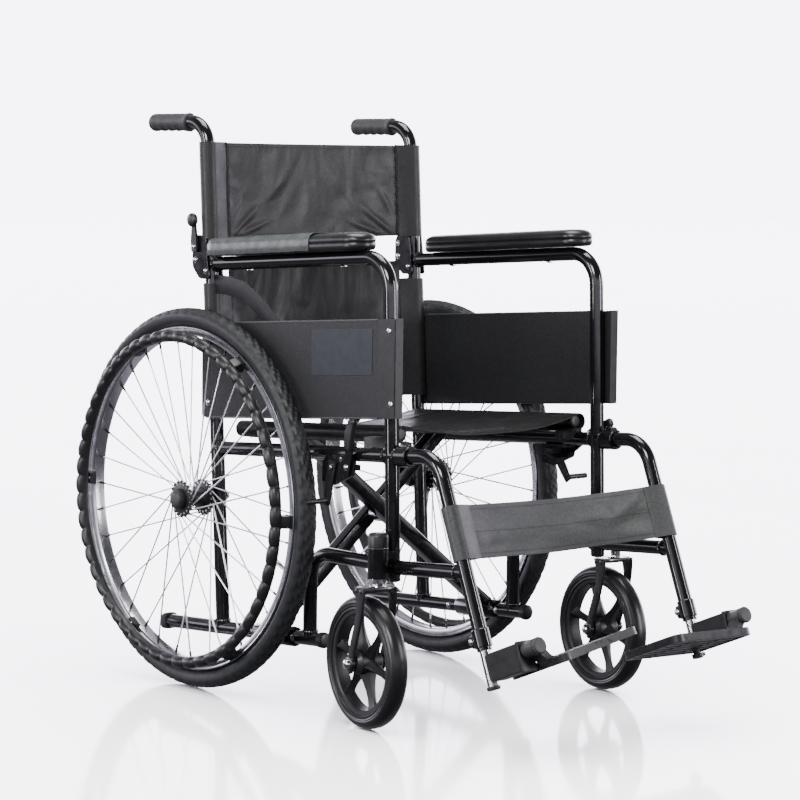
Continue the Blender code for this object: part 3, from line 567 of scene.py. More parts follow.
PLATE_PLASTIC = plastic("footplate_plastic", (0.02, 0.021, 0.022), 0.24, 0.4, 600.0, 0.15)
PANEL = speckled("side_panel_plastic", (0.01, 0.0103, 0.011), (0.032, 0.0325, 0.035), 900.0)
SADDLE = speckled("saddle_plastic", (0.035, 0.035, 0.036), (0.11, 0.11, 0.115), 700.0)
BLANK = plastic("blank_label", (0.019, 0.023, 0.028), 0.3, 0.4, 500.0, 0.03)
BACK_NYLON = nylon("back_nylon", (0.018, 0.018, 0.018), (0.038, 0.038, 0.039), 0.0012, ("X", "Z"), 0.04)
SLEEVE_NYLON = nylon("sleeve_nylon", (0.014, 0.0135, 0.013), (0.028, 0.0275, 0.027), 0.0012, ("X", "Z"), 0.04)
SEAT_NYLON = nylon("seat_nylon", (0.005, 0.005, 0.0055), (0.012, 0.012, 0.0125), 0.0012, ("X", "Y"), 0.02)
STRAP_NYLON = nylon("strap_nylon", (0.034, 0.037, 0.035), (0.068, 0.072, 0.069), 0.0012, ("X", "Z"), 0.08)
# Clear film drawn in opaque light grey: the grey is a painted reflection of the light on the film, not the
# film's own colour.
FILM_PAINTED_SHEEN = plastic("crinkled_film_painted_sheen", (0.088, 0.098, 0.095), 0.22, 0.34, 240.0, 0.22)
THREAD = plastic("black_thread", (0.004, 0.004, 0.004), 0.6, 0.8)
VINYL = vinyl("armrest_vinyl", (0.01, 0.011, 0.011))


# ---- side frames --------------------------------------------------------------------------
def caster_stem(side, z):
    return at(side * CASTER_X, CASTER_BACK, z)


def side_frame(side):
    name = SIDE_NAME[side]
    x = side * FRAME_X
    shape = bmesh.new()
    high = POST_TOP_Z - 0.0004
    tube(shape, [rear_post(side, rail_z(-0.028)), rear_post(side, high)])
    tube(shape, [at(x, back, rail_z(back)) for back in (0.112, -0.283)])
    stub = [at(x, STUB_BACK, rail_z(STUB_BACK)), at(x, STUB_BACK, MIDDLE_TUBE_Z),
            front_post(side, MIDDLE_TUBE_Z)]
    tube(shape, bend(stub, 0.045))
    tube(shape, [at(x, back, side_rail_z(back)) for back in (-0.012, LEG_TOP[0] + 0.0004)])
    corner = front_post(side, arm_z(-0.4326))
    arm = [at(x, 0.004, arm_z(0.004)), corner, front_post(side, FRONT_POST_END_Z)]
    tube(shape, bend(arm, 0.05, 20))
    low_end = front_post(side, FRONT_POST_END_Z)
    turned(shape, low_end, -Z_AXIS, [(-0.004, TUBE_R), (0.0, TUBE_R * 0.98), (0.0015, TUBE_R * 0.7)])
    housing = [(0.2305, HOUSING_R - 0.001), (0.2315, HOUSING_R), (0.276, HOUSING_R),
               (0.277, HOUSING_R - 0.001)]
    turned(shape, caster_stem(side, 0.0), Z_AXIS, housing, 36)
    for lift in (0.2385, 0.2655):
        middle = at(side * (FRAME_X + 0.013), CASTER_BACK + 0.001, lift)
        turned(shape, middle, X_AXIS * side, [(-0.003, 0.0052), (0.01, 0.0052)], 14)
    plate(shape, [(CASTER_BACK - 0.006, 0.236), (CASTER_BACK + 0.006, 0.236), (CASTER_BACK + 0.006, 0.268),
                  (CASTER_BACK - 0.006, 0.268)], side * 0.22, side * 0.2385)
    hub = at(side * 0.203, 0.0, WHEEL_Z)
    boss = [(0.0, 0.0125), (0.0015, 0.014), (0.0235, 0.014), (0.025, 0.0125)]
    turned(shape, hub, X_AXIS * side, boss, 32)

    along = (rear_post(side, 1.0) - rear_post(side, 0.0)).normalized()
    bead(shape, rear_post(side, rail_z(-0.028) + 0.012), along)
    bead(shape, at(x, STUB_BACK, rail_z(STUB_BACK) + 0.012), Z_AXIS)
    bead(shape, front_post(side, MIDDLE_TUBE_Z) + Y_AXIS * 0.0115, Y_AXIS)
    bead(shape, at(x, -0.0245, side_rail_z(-0.0245)), FOLD_AXIS)
    for back in (-0.4305, -0.4545):
        bead(shape, at(x, back, side_rail_z(back)), FOLD_AXIS)
    bead(shape, at(x, -0.007, arm_z(-0.007)), (corner - arm[0]).normalized())

    cheek = [(-0.006, 0.655), (0.02, 0.655), (0.0385, 0.674), (0.0385, 0.712), (0.03, 0.725),
             (0.004, 0.725)]
    cheek = round_corners(cheek, 0.006)
    for inner in (FRAME_X - 0.015, FRAME_X + 0.0118):
        plate(shape, cheek, side * inner, side * (inner + 0.0032))
    plate(shape, [(0.012, 0.655), (0.02, 0.655), (0.026, 0.664), (0.012, 0.664)],
          side * (FRAME_X - 0.013), side * (FRAME_X + 0.013))
    piece(shape, f"frame_tubes_{name}", PAINT, f"{name}_frame", [f"side_frame_{name}"], 0.0006)

    plug = bmesh.new()
    turned(plug, at(x, -0.283, rail_z(-0.283)), FOLD_AXIS,
           [(-0.004, 0.0122), (0.001, 0.0127), (0.0045, 0.0122), (0.006, 0.0105), (0.0066, 0.006)], 32)
    piece(plug, f"rail_plug_{name}", PLASTIC, f"{name}_frame")


def frame_screws(side):
    """Screws, rivets and pivot bolts that show on a side frame."""
    name = SIDE_NAME[side]
    outward = X_AXIS * side
    shape = bmesh.new()
    panel_face = side * (FRAME_X + TUBE_R + 0.0052)
    for back, z in ((-0.457, 0.488), (-0.452, 0.5965)):
        screw(shape, at(panel_face, back, z), outward, 0.005)
    for z in (0.458, 0.56):
        screw(shape, at(panel_face, post_back(REAR_POST, z), z), outward, 0.0042)
    for back in (-0.093, -0.3255):
        screw(shape, at(side * FRAME_X, back, arm_z(back) - TUBE_R), -Z_AXIS, 0.0046)
    for back in (-0.105, -0.22):
        screw(shape, at(side * (FRAME_X + TUBE_R - 0.0008), back, rail_z(back)), outward, 0.0044)
        screw(shape, at(side * (FRAME_X - TUBE_R + 0.0008), back, rail_z(back)), -outward, 0.0044)
    pin = at(side * FRAME_X, HINGE_BACK, HINGE_Z)
    for reach, axis in ((0.015, outward), (0.015, -outward)):
        screw(shape, pin + axis * reach, axis, 0.004)
    for back, z in ((0.004, 0.668), (0.03, 0.707)):
        screw(shape, at(side * (FRAME_X - 0.015), back, z), -outward, 0.0034)
    screw(shape, at(side * (FRAME_X + 0.015), 0.003, 0.668), outward, 0.0036)
    hex_nut(shape, at(side * 0.1975, 0.0, WHEEL_Z), outward, 0.019, 0.0055)
    stem = caster_stem(side, 0.2762)
    hoop(shape, stem, Z_AXIS, [(0.0, 0.013), (0.0, 0.016), (0.0012, 0.016), (0.0012, 0.013)], 36)
    piece(shape, f"frame_screws_{name}", CHROME, f"{name}_frame")


def rail_tip(side):
    shape = bmesh.new()
    x = side * FRAME_X
    start = at(x, 0.1124, rail_z(0.1124))
    stations = ((0.0, 0.94, 0.0), (0.0008, 1.0, 0.0), (0.004, 1.0, 0.0), (0.0046, 0.95, 0.0),
                (0.006, 0.95, 0.0), (0.0066, 1.0, 0.0), (0.011, 0.97, -0.0006),
                (0.015, 0.82, -0.0024), (0.017, 0.66, -0.004), (0.0175, 0.5, -0.005))
    section = rounded(0.0262, 0.0262, 0.0075, 6)
    rings = []
    for distance, grow, drop in stations:
        middle = start - FOLD_AXIS * distance + FOLD_UP * drop
        rings.append([middle + (X_AXIS * a + FOLD_UP * b) * grow for a, b in section])
    loft(shape, rings)
    name = SIDE_NAME[side]
    piece(shape, f"rail_tip_rubber_{name}", BLACK_RUBBER, f"{name}_frame", [f"rail_tip_{name}"])


def armrest(side):
    """Pad with a crowned top, a seam under its shoulder and round ends, thinner toward the front."""
    name = SIDE_NAME[side]
    rear, half = PAD_REAR[side], 0.029
    front = rear - PAD_LENGTH
    low, high = TUBE_R + 0.0004, 0.04
    layers = [(low, 0.006), (low + 0.0015, 0.002), (low + 0.005, 0.0004), (low + 0.011, 0.0),
              (low + 0.0122, 0.0012), (low + 0.0134, 0.0002), (high - 0.0095, 0.0004),
              (high - 0.0055, 0.0026), (high - 0.0028, 0.0066), (high - 0.001, 0.0125),
              (high - 0.0002, 0.0195)]
    shape = bmesh.new()
    steps = 18
    rings = []
    for lift, inset in layers:
        ring = []
        for end, sign, start in ((rear, 1.0, 0.0), (front, -1.0, pi)):
            for step in range(steps + 1):
                a = start - pi / 2.0 + pi * step / steps
                back = end - sign * half + (half - inset) * cos(a)
                across = (half - inset) * sin(a)
                droop = 0.003 * max(0.0, (front - back + 0.055) / 0.055) ** 2 if lift > 0.025 else 0.0
                ripple = 0.0006 * noise.noise(Vector((across * 30.0, back * 22.0, lift * 60.0 + side)))
                ring.append(at(side * FRAME_X + across, back, arm_z(back) + lift - droop + ripple))
        rings.append(ring)
    loft(shape, rings)
    pad = piece(shape, f"armrest_cushion_{name}", VINYL, f"{name}_frame", [f"armrest_pad_{name}"],
                sharp=60.0)


def pad_film():
    """Wrinkled clear film still on the rear of the right armrest pad. The film is drawn opaque light grey,
    which is a painted reflection of the light on the clear film.
    """
    side, half = -1, 0.0296
    rear = PAD_REAR[side] - 0.004
    front = rear - PAD_LENGTH * 0.7
    rings = []
    steps = 80
    for i in range(steps + 1):
        back = rear + (front - rear) * i / steps
        start = 0.5 * (1.0 - min(1.0, i / 6.0)) ** 2
        pull = half - 0.01 * start
        section = [(-pull, 0.0135), (-pull - 0.0004, 0.021), (-pull, 0.03), (-pull + 0.0035, 0.0372),
                   (-pull + 0.01, 0.0402), (-pull + 0.018, 0.041), (0.0, 0.0412), (pull - 0.018, 0.041),
                   (pull - 0.01, 0.0402), (pull - 0.0035, 0.0372), (pull, 0.03), (pull, 0.019)]
        ring = []
        for layer in (0.0, -0.0005):
            points = []
            for k, (across, lift) in enumerate(section):
                ripple = 0.0007 * noise.noise(Vector((back * 60.0, k * 0.9, 2.0)))
                ripple += 0.0009 * max(0.0, noise.noise(Vector((back * 26.0, 4.0, 1.0)))) * (lift < 0.036)
                grow = 1.0 + (ripple + layer) / half
                points.append(at(side * FRAME_X + across * grow, back, arm_z(back) + lift + ripple + layer))
            ring += points if layer == 0.0 else list(reversed(points))
        rings.append(ring)
    shape = bmesh.new()
    loft(shape, rings)
    film = piece(shape, "pad_film_right", FILM_PAINTED_SHEEN, "right_frame", sharp=60.0)


def side_strap():
    """Webbing that runs from the right rear post down behind the side panel."""
    x = -0.2185
    path = [at(x, -0.0062, 0.6475), at(x, -0.041, 0.6465), at(x, -0.083, 0.64),
            at(x, -0.125, 0.618), at(x, -0.167, 0.585), at(x, -0.203, 0.548)]
    path = bend(path, 0.035, 6)
    shape = bmesh.new()
    swept(shape, path, rounded(0.0018, 0.03, 0.0008, 3), X_AXIS)
    strap = piece(shape, "side_strap_right", SEAT_NYLON, "right_frame")


def side_panel(side):
    name = SIDE_NAME[side]
    inner = FRAME_X + TUBE_R + 0.0012
    outline = [(0.01, 0.433), (-0.466, 0.468), (-0.466, 0.615), (-0.01, 0.586), (0.01, 0.57)]
    shape = bmesh.new()
    plate(shape, round_corners(outline, 0.008), side * inner, side * (inner + 0.004))
    piece(shape, f"side_panel_shell_{name}", PANEL, f"{name}_frame", [f"side_panel_{name}"],
          0.0012)

    shape = bmesh.new()
    for low_end, high_end in (((-0.002, 0.434), (-0.425, 0.4651)), ((-0.016, 0.5856), (-0.425, 0.6116))):
        middle = side * (inner + 0.003)
        tube(shape, [at(middle, *low_end), at(middle, *high_end)], 0.0017, 10)
    piece(shape, f"panel_beads_{name}", SADDLE, f"{name}_frame")

    label = [(-0.2708, 0.519), (-0.413, 0.528), (-0.413, 0.598), (-0.2708, 0.5895)]
    shape = bmesh.new()
    plate(shape, round_corners(label, 0.004), side * (inner + 0.0036), side * (inner + 0.0046))
    piece(shape, f"blank_plate_{name}", BLANK, f"{name}_frame", bevel=0.0003)

    band = [(-0.4665, 0.4675), (-0.4665, 0.6155), (-0.429, 0.6125), (-0.429, 0.4645)]
    shape = bmesh.new()
    plate(shape, round_corners(band, 0.003), side * (inner + 0.0034), side * (inner + 0.0052))
    plate(shape, [(-0.4665, 0.4675), (-0.4665, 0.6155), (-0.4645, 0.6155), (-0.4645, 0.4675)],
          side * (FRAME_X + 0.002), side * (inner + 0.0052))
    piece(shape, f"panel_edge_{name}", PLASTIC, f"{name}_frame", bevel=0.0005)


# ---- folding back -------------------------------------------------------------------------
def back_cane(side):
    name = SIDE_NAME[side]
    x = side * FRAME_X
    shape = bmesh.new()
    points = [rear_post(side, POST_TOP_Z + 0.0004), at(x, REAR_POST[0] + REAR_POST[2] * 0.547, GRIP_Z),
              at(x, GRIP_TIP_BACK - 0.006, GRIP_Z)]
    tube(shape, bend(points, 0.042, 20))
    tang = [(0.012, 0.6932), (0.019, 0.6932), (0.02, 0.689), (HINGE_BACK - 0.002, 0.689),
            (0.037, 0.68), (0.037, 0.712), (0.012, 0.718)]
    plate(shape, round_corners(tang, 0.002), side * (FRAME_X - 0.0105), side * (FRAME_X + 0.0105))
    piece(shape, f"cane_tube_{name}", PAINT, f"back_cane_{name}", [f"back_cane_{name}"],
          0.0005)

    shape = bmesh.new()
    start = GRIP_TIP_BACK - GRIP_LENGTH
    rings = []
    count = 72
    for i in range(count + 1):
        distance = GRIP_LENGTH * i / count
        flange = 0.0011 * max(0.0, 1.0 - abs(distance - 0.003) / 0.0035)
        end_round = 0.004 * max(0.0, (distance - GRIP_LENGTH + 0.007) / 0.007) ** 2
        start_round = 0.0012 * max(0.0, 1.0 - distance / 0.0012)
        finger = (distance - 0.012) / (GRIP_LENGTH - 0.024)
        scoop = 0.0026 * (0.5 - 0.5 * cos(tau * 4.0 * finger)) if 0.0 < finger < 1.0 else 0.0
        ring = []
        for a, b in disc(1.0, 36):
            underside = max(0.0, -b) ** 1.6
            ribbed = b > -0.2 and 0.01 < distance < GRIP_LENGTH - 0.007
            rib = 0.00025 * sin(distance * tau / 0.0035) if ribbed else 0.0
            radius = GRIP_R + flange + rib - end_round - start_round + 0.001 * underside - scoop * underside
            ring.append(at(x + radius * a, start + distance, GRIP_Z + radius * b))
        rings.append(ring)
    loft(shape, rings)
    piece(shape, f"grip_sleeve_{name}", GRIP_RUBBER, f"back_cane_{name}", [f"grip_{name}"],
          sharp=50.0)


def back_latch(side):
    name = SIDE_NAME[side]
    shape = bmesh.new()
    x = FRAME_X + 0.016
    outline = [(0.02, 0.698), (0.034, 0.698), (0.036, 0.716), (0.0335, 0.742), (0.0255, 0.742),
               (0.021, 0.716)]
    plate(shape, round_corners(outline, 0.003), side * x, side * (x + 0.005))
    knob = [(0.0, 0.007), (0.0012, 0.0098), (0.003, 0.011), (0.007, 0.011), (0.0088, 0.0098),
            (0.01, 0.007)]
    turned(shape, at(side * (x + 0.001), 0.0295, 0.749), X_AXIS * side, knob, 32)
    piece(shape, f"latch_knob_{name}", PLASTIC, f"back_latch_{name}", [f"back_latch_{name}"],
          0.0008)
    shape = bmesh.new()
    screw(shape, at(side * (x + 0.0048), 0.027, 0.706), X_AXIS * side, 0.0036)
    piece(shape, f"latch_rivet_{name}", CHROME, f"back_latch_{name}")


# ---- rear wheels --------------------------------------------------------------------------
def wheel_point(angle, radius):
    return Vector((0.0, radius * cos(angle), radius * sin(angle)))


def tyre(side, centre):
    """Round carcass with side rings, and a tread of cut blocks between two shoulders."""
    name = SIDE_NAME[side]
    shape = bmesh.new()
    middle_r = (TYRE_INNER_R + WHEEL_R) / 2.0
    half_h = (WHEEL_R - TYRE_INNER_R) / 2.0
    around, sections = 720, 30
    rings = []
    for j in range(around):
        angle = tau * j / around
        ring = []
        for k in range(sections):
            a = tau * k / sections
            across = TYRE_HALF * sin(a) * 0.985
            lift = half_h * cos(a)
            crown = cos(a)
            groove = 0.0
            if crown > 0.42:
                row = k if k < sections / 2 else k - sections
                shifted = (j + (3 * row if abs(row) < 3 else 0)) % 9
                groove = 0.0019 if shifted < 3 or abs(row) == 3 else 0.0
            ring_line = 0.0007 if -0.15 < crown < 0.1 else 0.0
            radius = middle_r + lift * 0.992 - groove * crown
            across -= ring_line * (1.0 if across > 0 else -1.0)
            ring.append(centre + X_AXIS * across + wheel_point(angle, radius))
        rings.append(ring)
    loft(shape, rings, closed=True)
    piece(shape, f"tyre_tread_{name}", TYRE, f"wheel_{name}", [f"tyre_{name}"], sharp=28.0)


def rim(side, centre):
    name = SIDE_NAME[side]
    lip = RIM_HALF
    shape = bmesh.new()
    inner, outer = RIM_INNER_R, TYRE_INNER_R
    section = [(-lip * 0.5, inner), (lip * 0.5, inner), (lip * 0.78, inner + 0.0006),
               (lip * 0.92, inner + 0.0024), (lip * 0.97, inner + 0.0045), (lip * 0.97, outer - 0.003),
               (lip * 1.06, outer - 0.0014), (lip * 1.06, outer + 0.0004), (lip * 0.96, outer + 0.0012)]
    section += [(-across, radius) for across, radius in reversed(section[2:])]
    hoop(shape, centre, X_AXIS, section, 240)
    valve = Matrix.Rotation(radians(200.0), 3, "X") @ Y_AXIS
    stem = [(0.0, 0.0034), (0.008, 0.003), (0.03, 0.0026)]
    turned(shape, centre + valve * (inner + 0.001), -valve, stem, 12)
    piece(shape, f"rim_band_{name}", ALLOY, f"wheel_{name}", [f"rim_{name}"], sharp=22.0)


def handrim(side, centre):
    """Moulded push ring: a smooth bar with rounded knuckles along its outer side."""
    name = SIDE_NAME[side]
    axis = X_AXIS * side
    shape = bmesh.new()
    offset = HANDRIM_X - WHEEL_X
    rings = []
    around = HANDRIM_WAVES * 12
    for j in range(around):
        angle = tau * j / around
        knuckle = HANDRIM_KNUCKLE * abs(cos(HANDRIM_WAVES * angle / 2.0)) ** 0.6
        ring = []
        for a, b in disc(1.0, 24):
            facing = max(0.0, 0.9 * a + 0.45 * b) ** 0.7
            radius = HANDRIM_BAR_R + knuckle * facing
            ring.append(centre + axis * (offset + radius * a) + wheel_point(angle, HANDRIM_R + radius * b))
        rings.append(ring)
    loft(shape, rings, closed=True)
    piece(shape, f"push_ring_{name}", HANDRIM_PLASTIC, f"wheel_{name}", [f"handrim_{name}"],
          sharp=60.0)

    tabs, bolts = bmesh.new(), bmesh.new()
    arm = ((0.0129, 0.27), (0.019, 0.269), (0.025, 0.2655), (offset + 0.002, 0.2625))
    for i in range(HANDRIM_TABS):
        angle = HANDRIM_TAB_START + tau * i / HANDRIM_TABS
        radial = wheel_point(angle, 1.0)
        tangent = wheel_point(angle + pi / 2.0, 1.0)
        path = [centre + axis * reach + radial * height for reach, height in arm]
        swept(tabs, path, rounded(0.019, 0.006, 0.0018), tangent)
        foot = [centre + axis * 0.0125 + radial * height for height in (0.274, 0.256)]
        swept(tabs, foot, rounded(0.005, 0.021, 0.002), axis)
        block = [centre + axis * 0.018 + radial * height for height in (0.266, 0.254)]
        swept(tabs, block, rounded(0.012, 0.019, 0.003), axis)
        screw(bolts, centre + axis * 0.0238 + radial * 0.259, axis, 0.0034)
    piece(tabs, f"push_ring_tabs_{name}", PLASTIC, f"wheel_{name}", bevel=0.0004)
    piece(bolts, f"push_ring_bolts_{name}", CHROME, f"wheel_{name}")


def hub(side, centre):
    name = SIDE_NAME[side]
    axis = X_AXIS * side
    shape = bmesh.new()
    inside, outside = FLANGE_HALF - 0.0015, FLANGE_HALF + 0.0015
    profile = [(-0.0268, 0.0066), (0.03, 0.0066), (0.03, 0.0165), (outside + 0.001, 0.0165),
               (outside, FLANGE_R - 0.002), (outside - 0.0005, FLANGE_R), (inside + 0.0005, FLANGE_R),
               (inside, FLANGE_R - 0.002), (inside - 0.002, 0.016), (0.008, 0.0138), (-0.008, 0.0138),
               (-inside + 0.002, 0.016), (-inside, FLANGE_R - 0.002), (-inside - 0.0005, FLANGE_R),
               (-outside + 0.0005, FLANGE_R), (-outside, FLANGE_R - 0.002), (-outside - 0.001, 0.015),
               (-0.0268, 0.014)]
    hoop(shape, centre, axis, profile, 72)
    for i in range(SPOKES // 2):
        around_hub = wheel_point(tau * (i + 0.5) / (SPOKES // 2), FLANGE_R)
        for sign in (-1, 1):
            place = centre + axis * (sign * FLANGE_HALF) + around_hub
            turned(shape, place - axis * 0.0015, axis, [(0.0, 0.003), (0.003, 0.003)], 12)
    turned(shape, centre, axis, [(0.0262, 0.015), (0.028, 0.0158), (0.031, 0.0158), (0.0312, 0.0146)], 48)
    piece(shape, f"hub_shell_{name}", PLASTIC, f"wheel_{name}", [f"wheel_hub_{name}"],
          sharp=40.0)

    shape = bmesh.new()
    cap = [(0.03, 0.0134), (0.033, 0.0134), (0.0352, 0.0126), (0.0368, 0.0104), (0.0376, 0.0074),
           (0.038, 0.0038), (0.0381, 0.001)]
    turned(shape, centre, axis, cap, 48)
    piece(shape, f"hub_cap_{name}", KNOB_PLASTIC, f"wheel_{name}", sharp=40.0)

    spokes, nipples = bmesh.new(), bmesh.new()
    nipple = [(-0.001, 0.0023), (0.0035, 0.0023), (0.0045, 0.0019), (0.0135, 0.0018)]
    for i in range(SPOKES):
        sign = 1 if i % 2 else -1
        rim_angle = tau * i / SPOKES
        hub_angle = rim_angle + sign * SPOKE_LEAN
        start = centre + axis * (sign * FLANGE_HALF) + wheel_point(hub_angle, FLANGE_R - 0.003)
        end = centre + axis * (sign * 0.0015) + wheel_point(rim_angle, RIM_INNER_R + 0.001)
        along = (end - start).normalized()
        swept(spokes, [start, end - along * 0.012], disc(SPOKE_R, 8), axis)
        turned(spokes, start - axis * (sign * 0.0026), axis * sign,
               [(0.0, 0.0012), (0.0004, 0.002), (0.0012, 0.002), (0.004, 0.0011), (0.0052, 0.0011)], 10)
        turned(nipples, end, -along, nipple, 8)
    piece(spokes, f"spoke_set_{name}", SPOKE_STEEL, f"wheel_{name}")
    piece(nipples, f"nipples_{name}", SATIN_PAINT, f"wheel_{name}")


def axle(side, centre):
    name = SIDE_NAME[side]
    axis = X_AXIS * side
    shape = bmesh.new()
    turned(shape, centre, axis, [(-0.07, 0.006), (-0.069, 0.0066), (-0.056, 0.0066), (-0.0555, 0.006),
                                 (0.029, 0.006)], 24)
    hex_nut(shape, centre - axis * 0.065, axis, 0.018, 0.008)
    piece(shape, f"axle_bolt_{name}", CHROME, f"{name}_frame", [f"axle_{name}"], sharp=40.0)


def rear_wheel(side):
    centre = at(side * WHEEL_X, 0.0, WHEEL_Z)
    tyre(side, centre)
    rim(side, centre)
    handrim(side, centre)
    hub(side, centre)
    axle(side, centre)


# ---- casters ------------------------------------------------------------------------------
def caster_frame(side):
    yaw = CASTER_YAW[side]
    rolling = Vector((-sin(yaw), cos(yaw), 0.0))
    axis = Vector((cos(yaw), sin(yaw), 0.0))
    return caster_stem(side, CASTER_R) + rolling * CASTER_TRAIL, axis, rolling


def caster_fork(side):
    name = SIDE_NAME[side]
    centre, axis, rolling = caster_frame(side)
    foot = caster_stem(side, 0.0)
    shape = bmesh.new()
    crown = foot + rolling * 0.006
    path = [crown + Z_AXIS * height for height in (0.211, 0.212, 0.217, 0.218)]
    swept(shape, path, rounded(0.06, 0.03, 0.012, 6), axis, [0.97, 1.0, 1.0, 0.97])
    for sign in (-1, 1):
        rings = []
        steps = 22
        for i in range(steps + 1):
            t = i / steps
            height = 0.2165 - (0.2165 - (CASTER_R - 0.015)) * t
            curve = t * t * (3.0 - 2.0 * t)
            along = 0.006 + (CASTER_TRAIL - 0.006) * curve - 0.012 * sin(pi * t) * (1.0 - t)
            width = 0.0168 + 0.012 * max(0.0, 1.0 - t / 0.3) ** 1.6
            if t > 0.9:
                width *= max(0.35, 1.0 - ((t - 0.9) / 0.1) ** 2 * 0.65)
            spread_out = 0.0275 + 0.0015 * sin(pi * t)
            middle = foot + rolling * along + axis * (sign * spread_out) + Z_AXIS * height
            crowned = rounded(0.0046, width, 0.0022, 3)
            rings.append([middle + axis * a + rolling * b for a, b in crowned])
        loft(shape, rings)
        boss = [(-0.003, 0.0105), (0.003, 0.0105), (0.0036, 0.0095)]
        turned(shape, centre + axis * (sign * 0.0285), axis * sign, boss, 28)
        for ahead in (-0.0065, 0.0065):
            middle = crown + axis * (sign * 0.0295) + rolling * ahead + Z_AXIS * 0.212
            turned(shape, middle, axis * sign, [(0.0, 0.004), (0.0012, 0.0035), (0.0018, 0.0022)], 16)
    piece(shape, f"fork_steel_{name}", SATIN_PAINT, f"caster_fork_{name}", [f"caster_fork_{name}"],
          0.0005)

    shape = bmesh.new()
    turned(shape, foot, Z_AXIS, [(0.2175, 0.012), (0.2185, 0.0125), (0.2195, 0.012)], 32)
    hex_nut(shape, foot + Z_AXIS * 0.2195, Z_AXIS, 0.015, 0.005)
    turned(shape, foot, Z_AXIS, [(0.224, 0.0078), (0.23, 0.0078), (0.2301, 0.007), (0.264, 0.007)], 24)
    bolt = [(0.03, 0.0062), (0.031, 0.0078), (0.035, 0.0078), (0.0375, 0.0066), (0.0392, 0.0036)]
    for sign in (-1, 1):
        turned(shape, centre, axis * sign, bolt, 6 if sign * side < 0 else 24)
        turned(shape, centre, axis * sign, [(0.03, 0.0086), (0.0312, 0.0086)], 28)
    turned(shape, centre - axis * 0.031, axis, [(0.0, 0.005), (0.062, 0.005)], 18)
    piece(shape, f"caster_bolts_{name}", CHROME, f"caster_fork_{name}", [f"caster_axle_{name}"])

    shape = bmesh.new()
    cap = [(0.2776, HOUSING_R - 0.0006), (0.2782, HOUSING_R), (0.2935, HOUSING_R),
           (0.2965, HOUSING_R - 0.001), (0.298, HOUSING_R - 0.0034), (0.2985, HOUSING_R - 0.007)]
    turned(shape, foot, Z_AXIS, cap, 40)
    piece(shape, f"stem_cap_{name}", PLASTIC, f"{name}_frame", [f"caster_cap_{name}"],
          sharp=40.0)


def caster_wheel(side):
    name = SIDE_NAME[side]
    centre, axis, rolling = caster_frame(side)
    inner, outer = CASTER_RIM_R, CASTER_R
    shape = bmesh.new()
    half = CASTER_HALF
    section = [(-half * 0.8, inner), (half * 0.8, inner), (half * 0.96, inner + 0.0014),
               (half * 1.0, inner + 0.0036),
               (half * 0.955, inner + 0.0044), (half * 0.955, inner + 0.0052), (half * 0.99, inner + 0.006),
               (half * 0.97, inner + 0.0085), (half * 0.86, inner + 0.0125), (half * 0.66, inner + 0.0155),
               (half * 0.36, outer - 0.0004), (0.0, outer - 0.0001)]
    section += [(-across, radius) for across, radius in reversed(section[2:-1])]
    hoop(shape, centre, axis, section, 120)
    piece(shape, f"solid_tyre_{name}", SOLID_TYRE, f"caster_wheel_{name}", [f"caster_tyre_{name}"],
          sharp=50.0)

    shape = bmesh.new()
    band = [(-0.0122, 0.0738), (-0.0105, 0.0716), (-0.003, 0.0706), (0.003, 0.0706), (0.0105, 0.0716),
            (0.0122, 0.0738), (0.0125, inner - 0.0002), (-0.0125, inner - 0.0002)]
    hoop(shape, centre, axis, band, 96)
    lip = [(-0.0148, 0.08), (-0.012, 0.079), (-0.012, 0.0835), (-0.0142, 0.0835)]
    for sign in (-1, 1):
        hoop(shape, centre, axis, [(sign * across, radius) for across, radius in lip], 96)
    turned(shape, centre, axis, [(-0.0225, 0.011), (-0.0222, 0.013), (-0.016, 0.018), (0.016, 0.018),
                                 (0.0222, 0.013), (0.0225, 0.011)], 40)
    for i in range(6):
        angle = tau * (i + 0.2) / 6
        ray = rolling * cos(angle) + Z_AXIS * sin(angle)
        flank = axis.cross(ray)
        rings = []
        for t, width, depth in ((0.012, 0.0215, 0.033), (0.02, 0.017, 0.029), (0.03, 0.013, 0.0225),
                                (0.042, 0.0112, 0.0175), (0.054, 0.0118, 0.015), (0.064, 0.015, 0.0165),
                                (0.0715, 0.022, 0.02), (0.0745, 0.028, 0.0215)):
            outline = ((depth / 2.0, 0.0), (depth * 0.3, width * 0.18), (depth * 0.12, width / 2.0),
                       (-depth * 0.12, width / 2.0), (-depth * 0.3, width * 0.18), (-depth / 2.0, 0.0),
                       (-depth * 0.3, -width * 0.18), (-depth * 0.12, -width / 2.0),
                       (depth * 0.12, -width / 2.0), (depth * 0.3, -width * 0.18))
            rings.append([centre + ray * t + axis * a + flank * b for a, b in outline])
        loft(shape, rings)
    piece(shape, f"spoked_core_{name}", WHEEL_PLASTIC, f"caster_wheel_{name}", [f"caster_wheel_{name}"],
          0.0006, sharp=30.0)


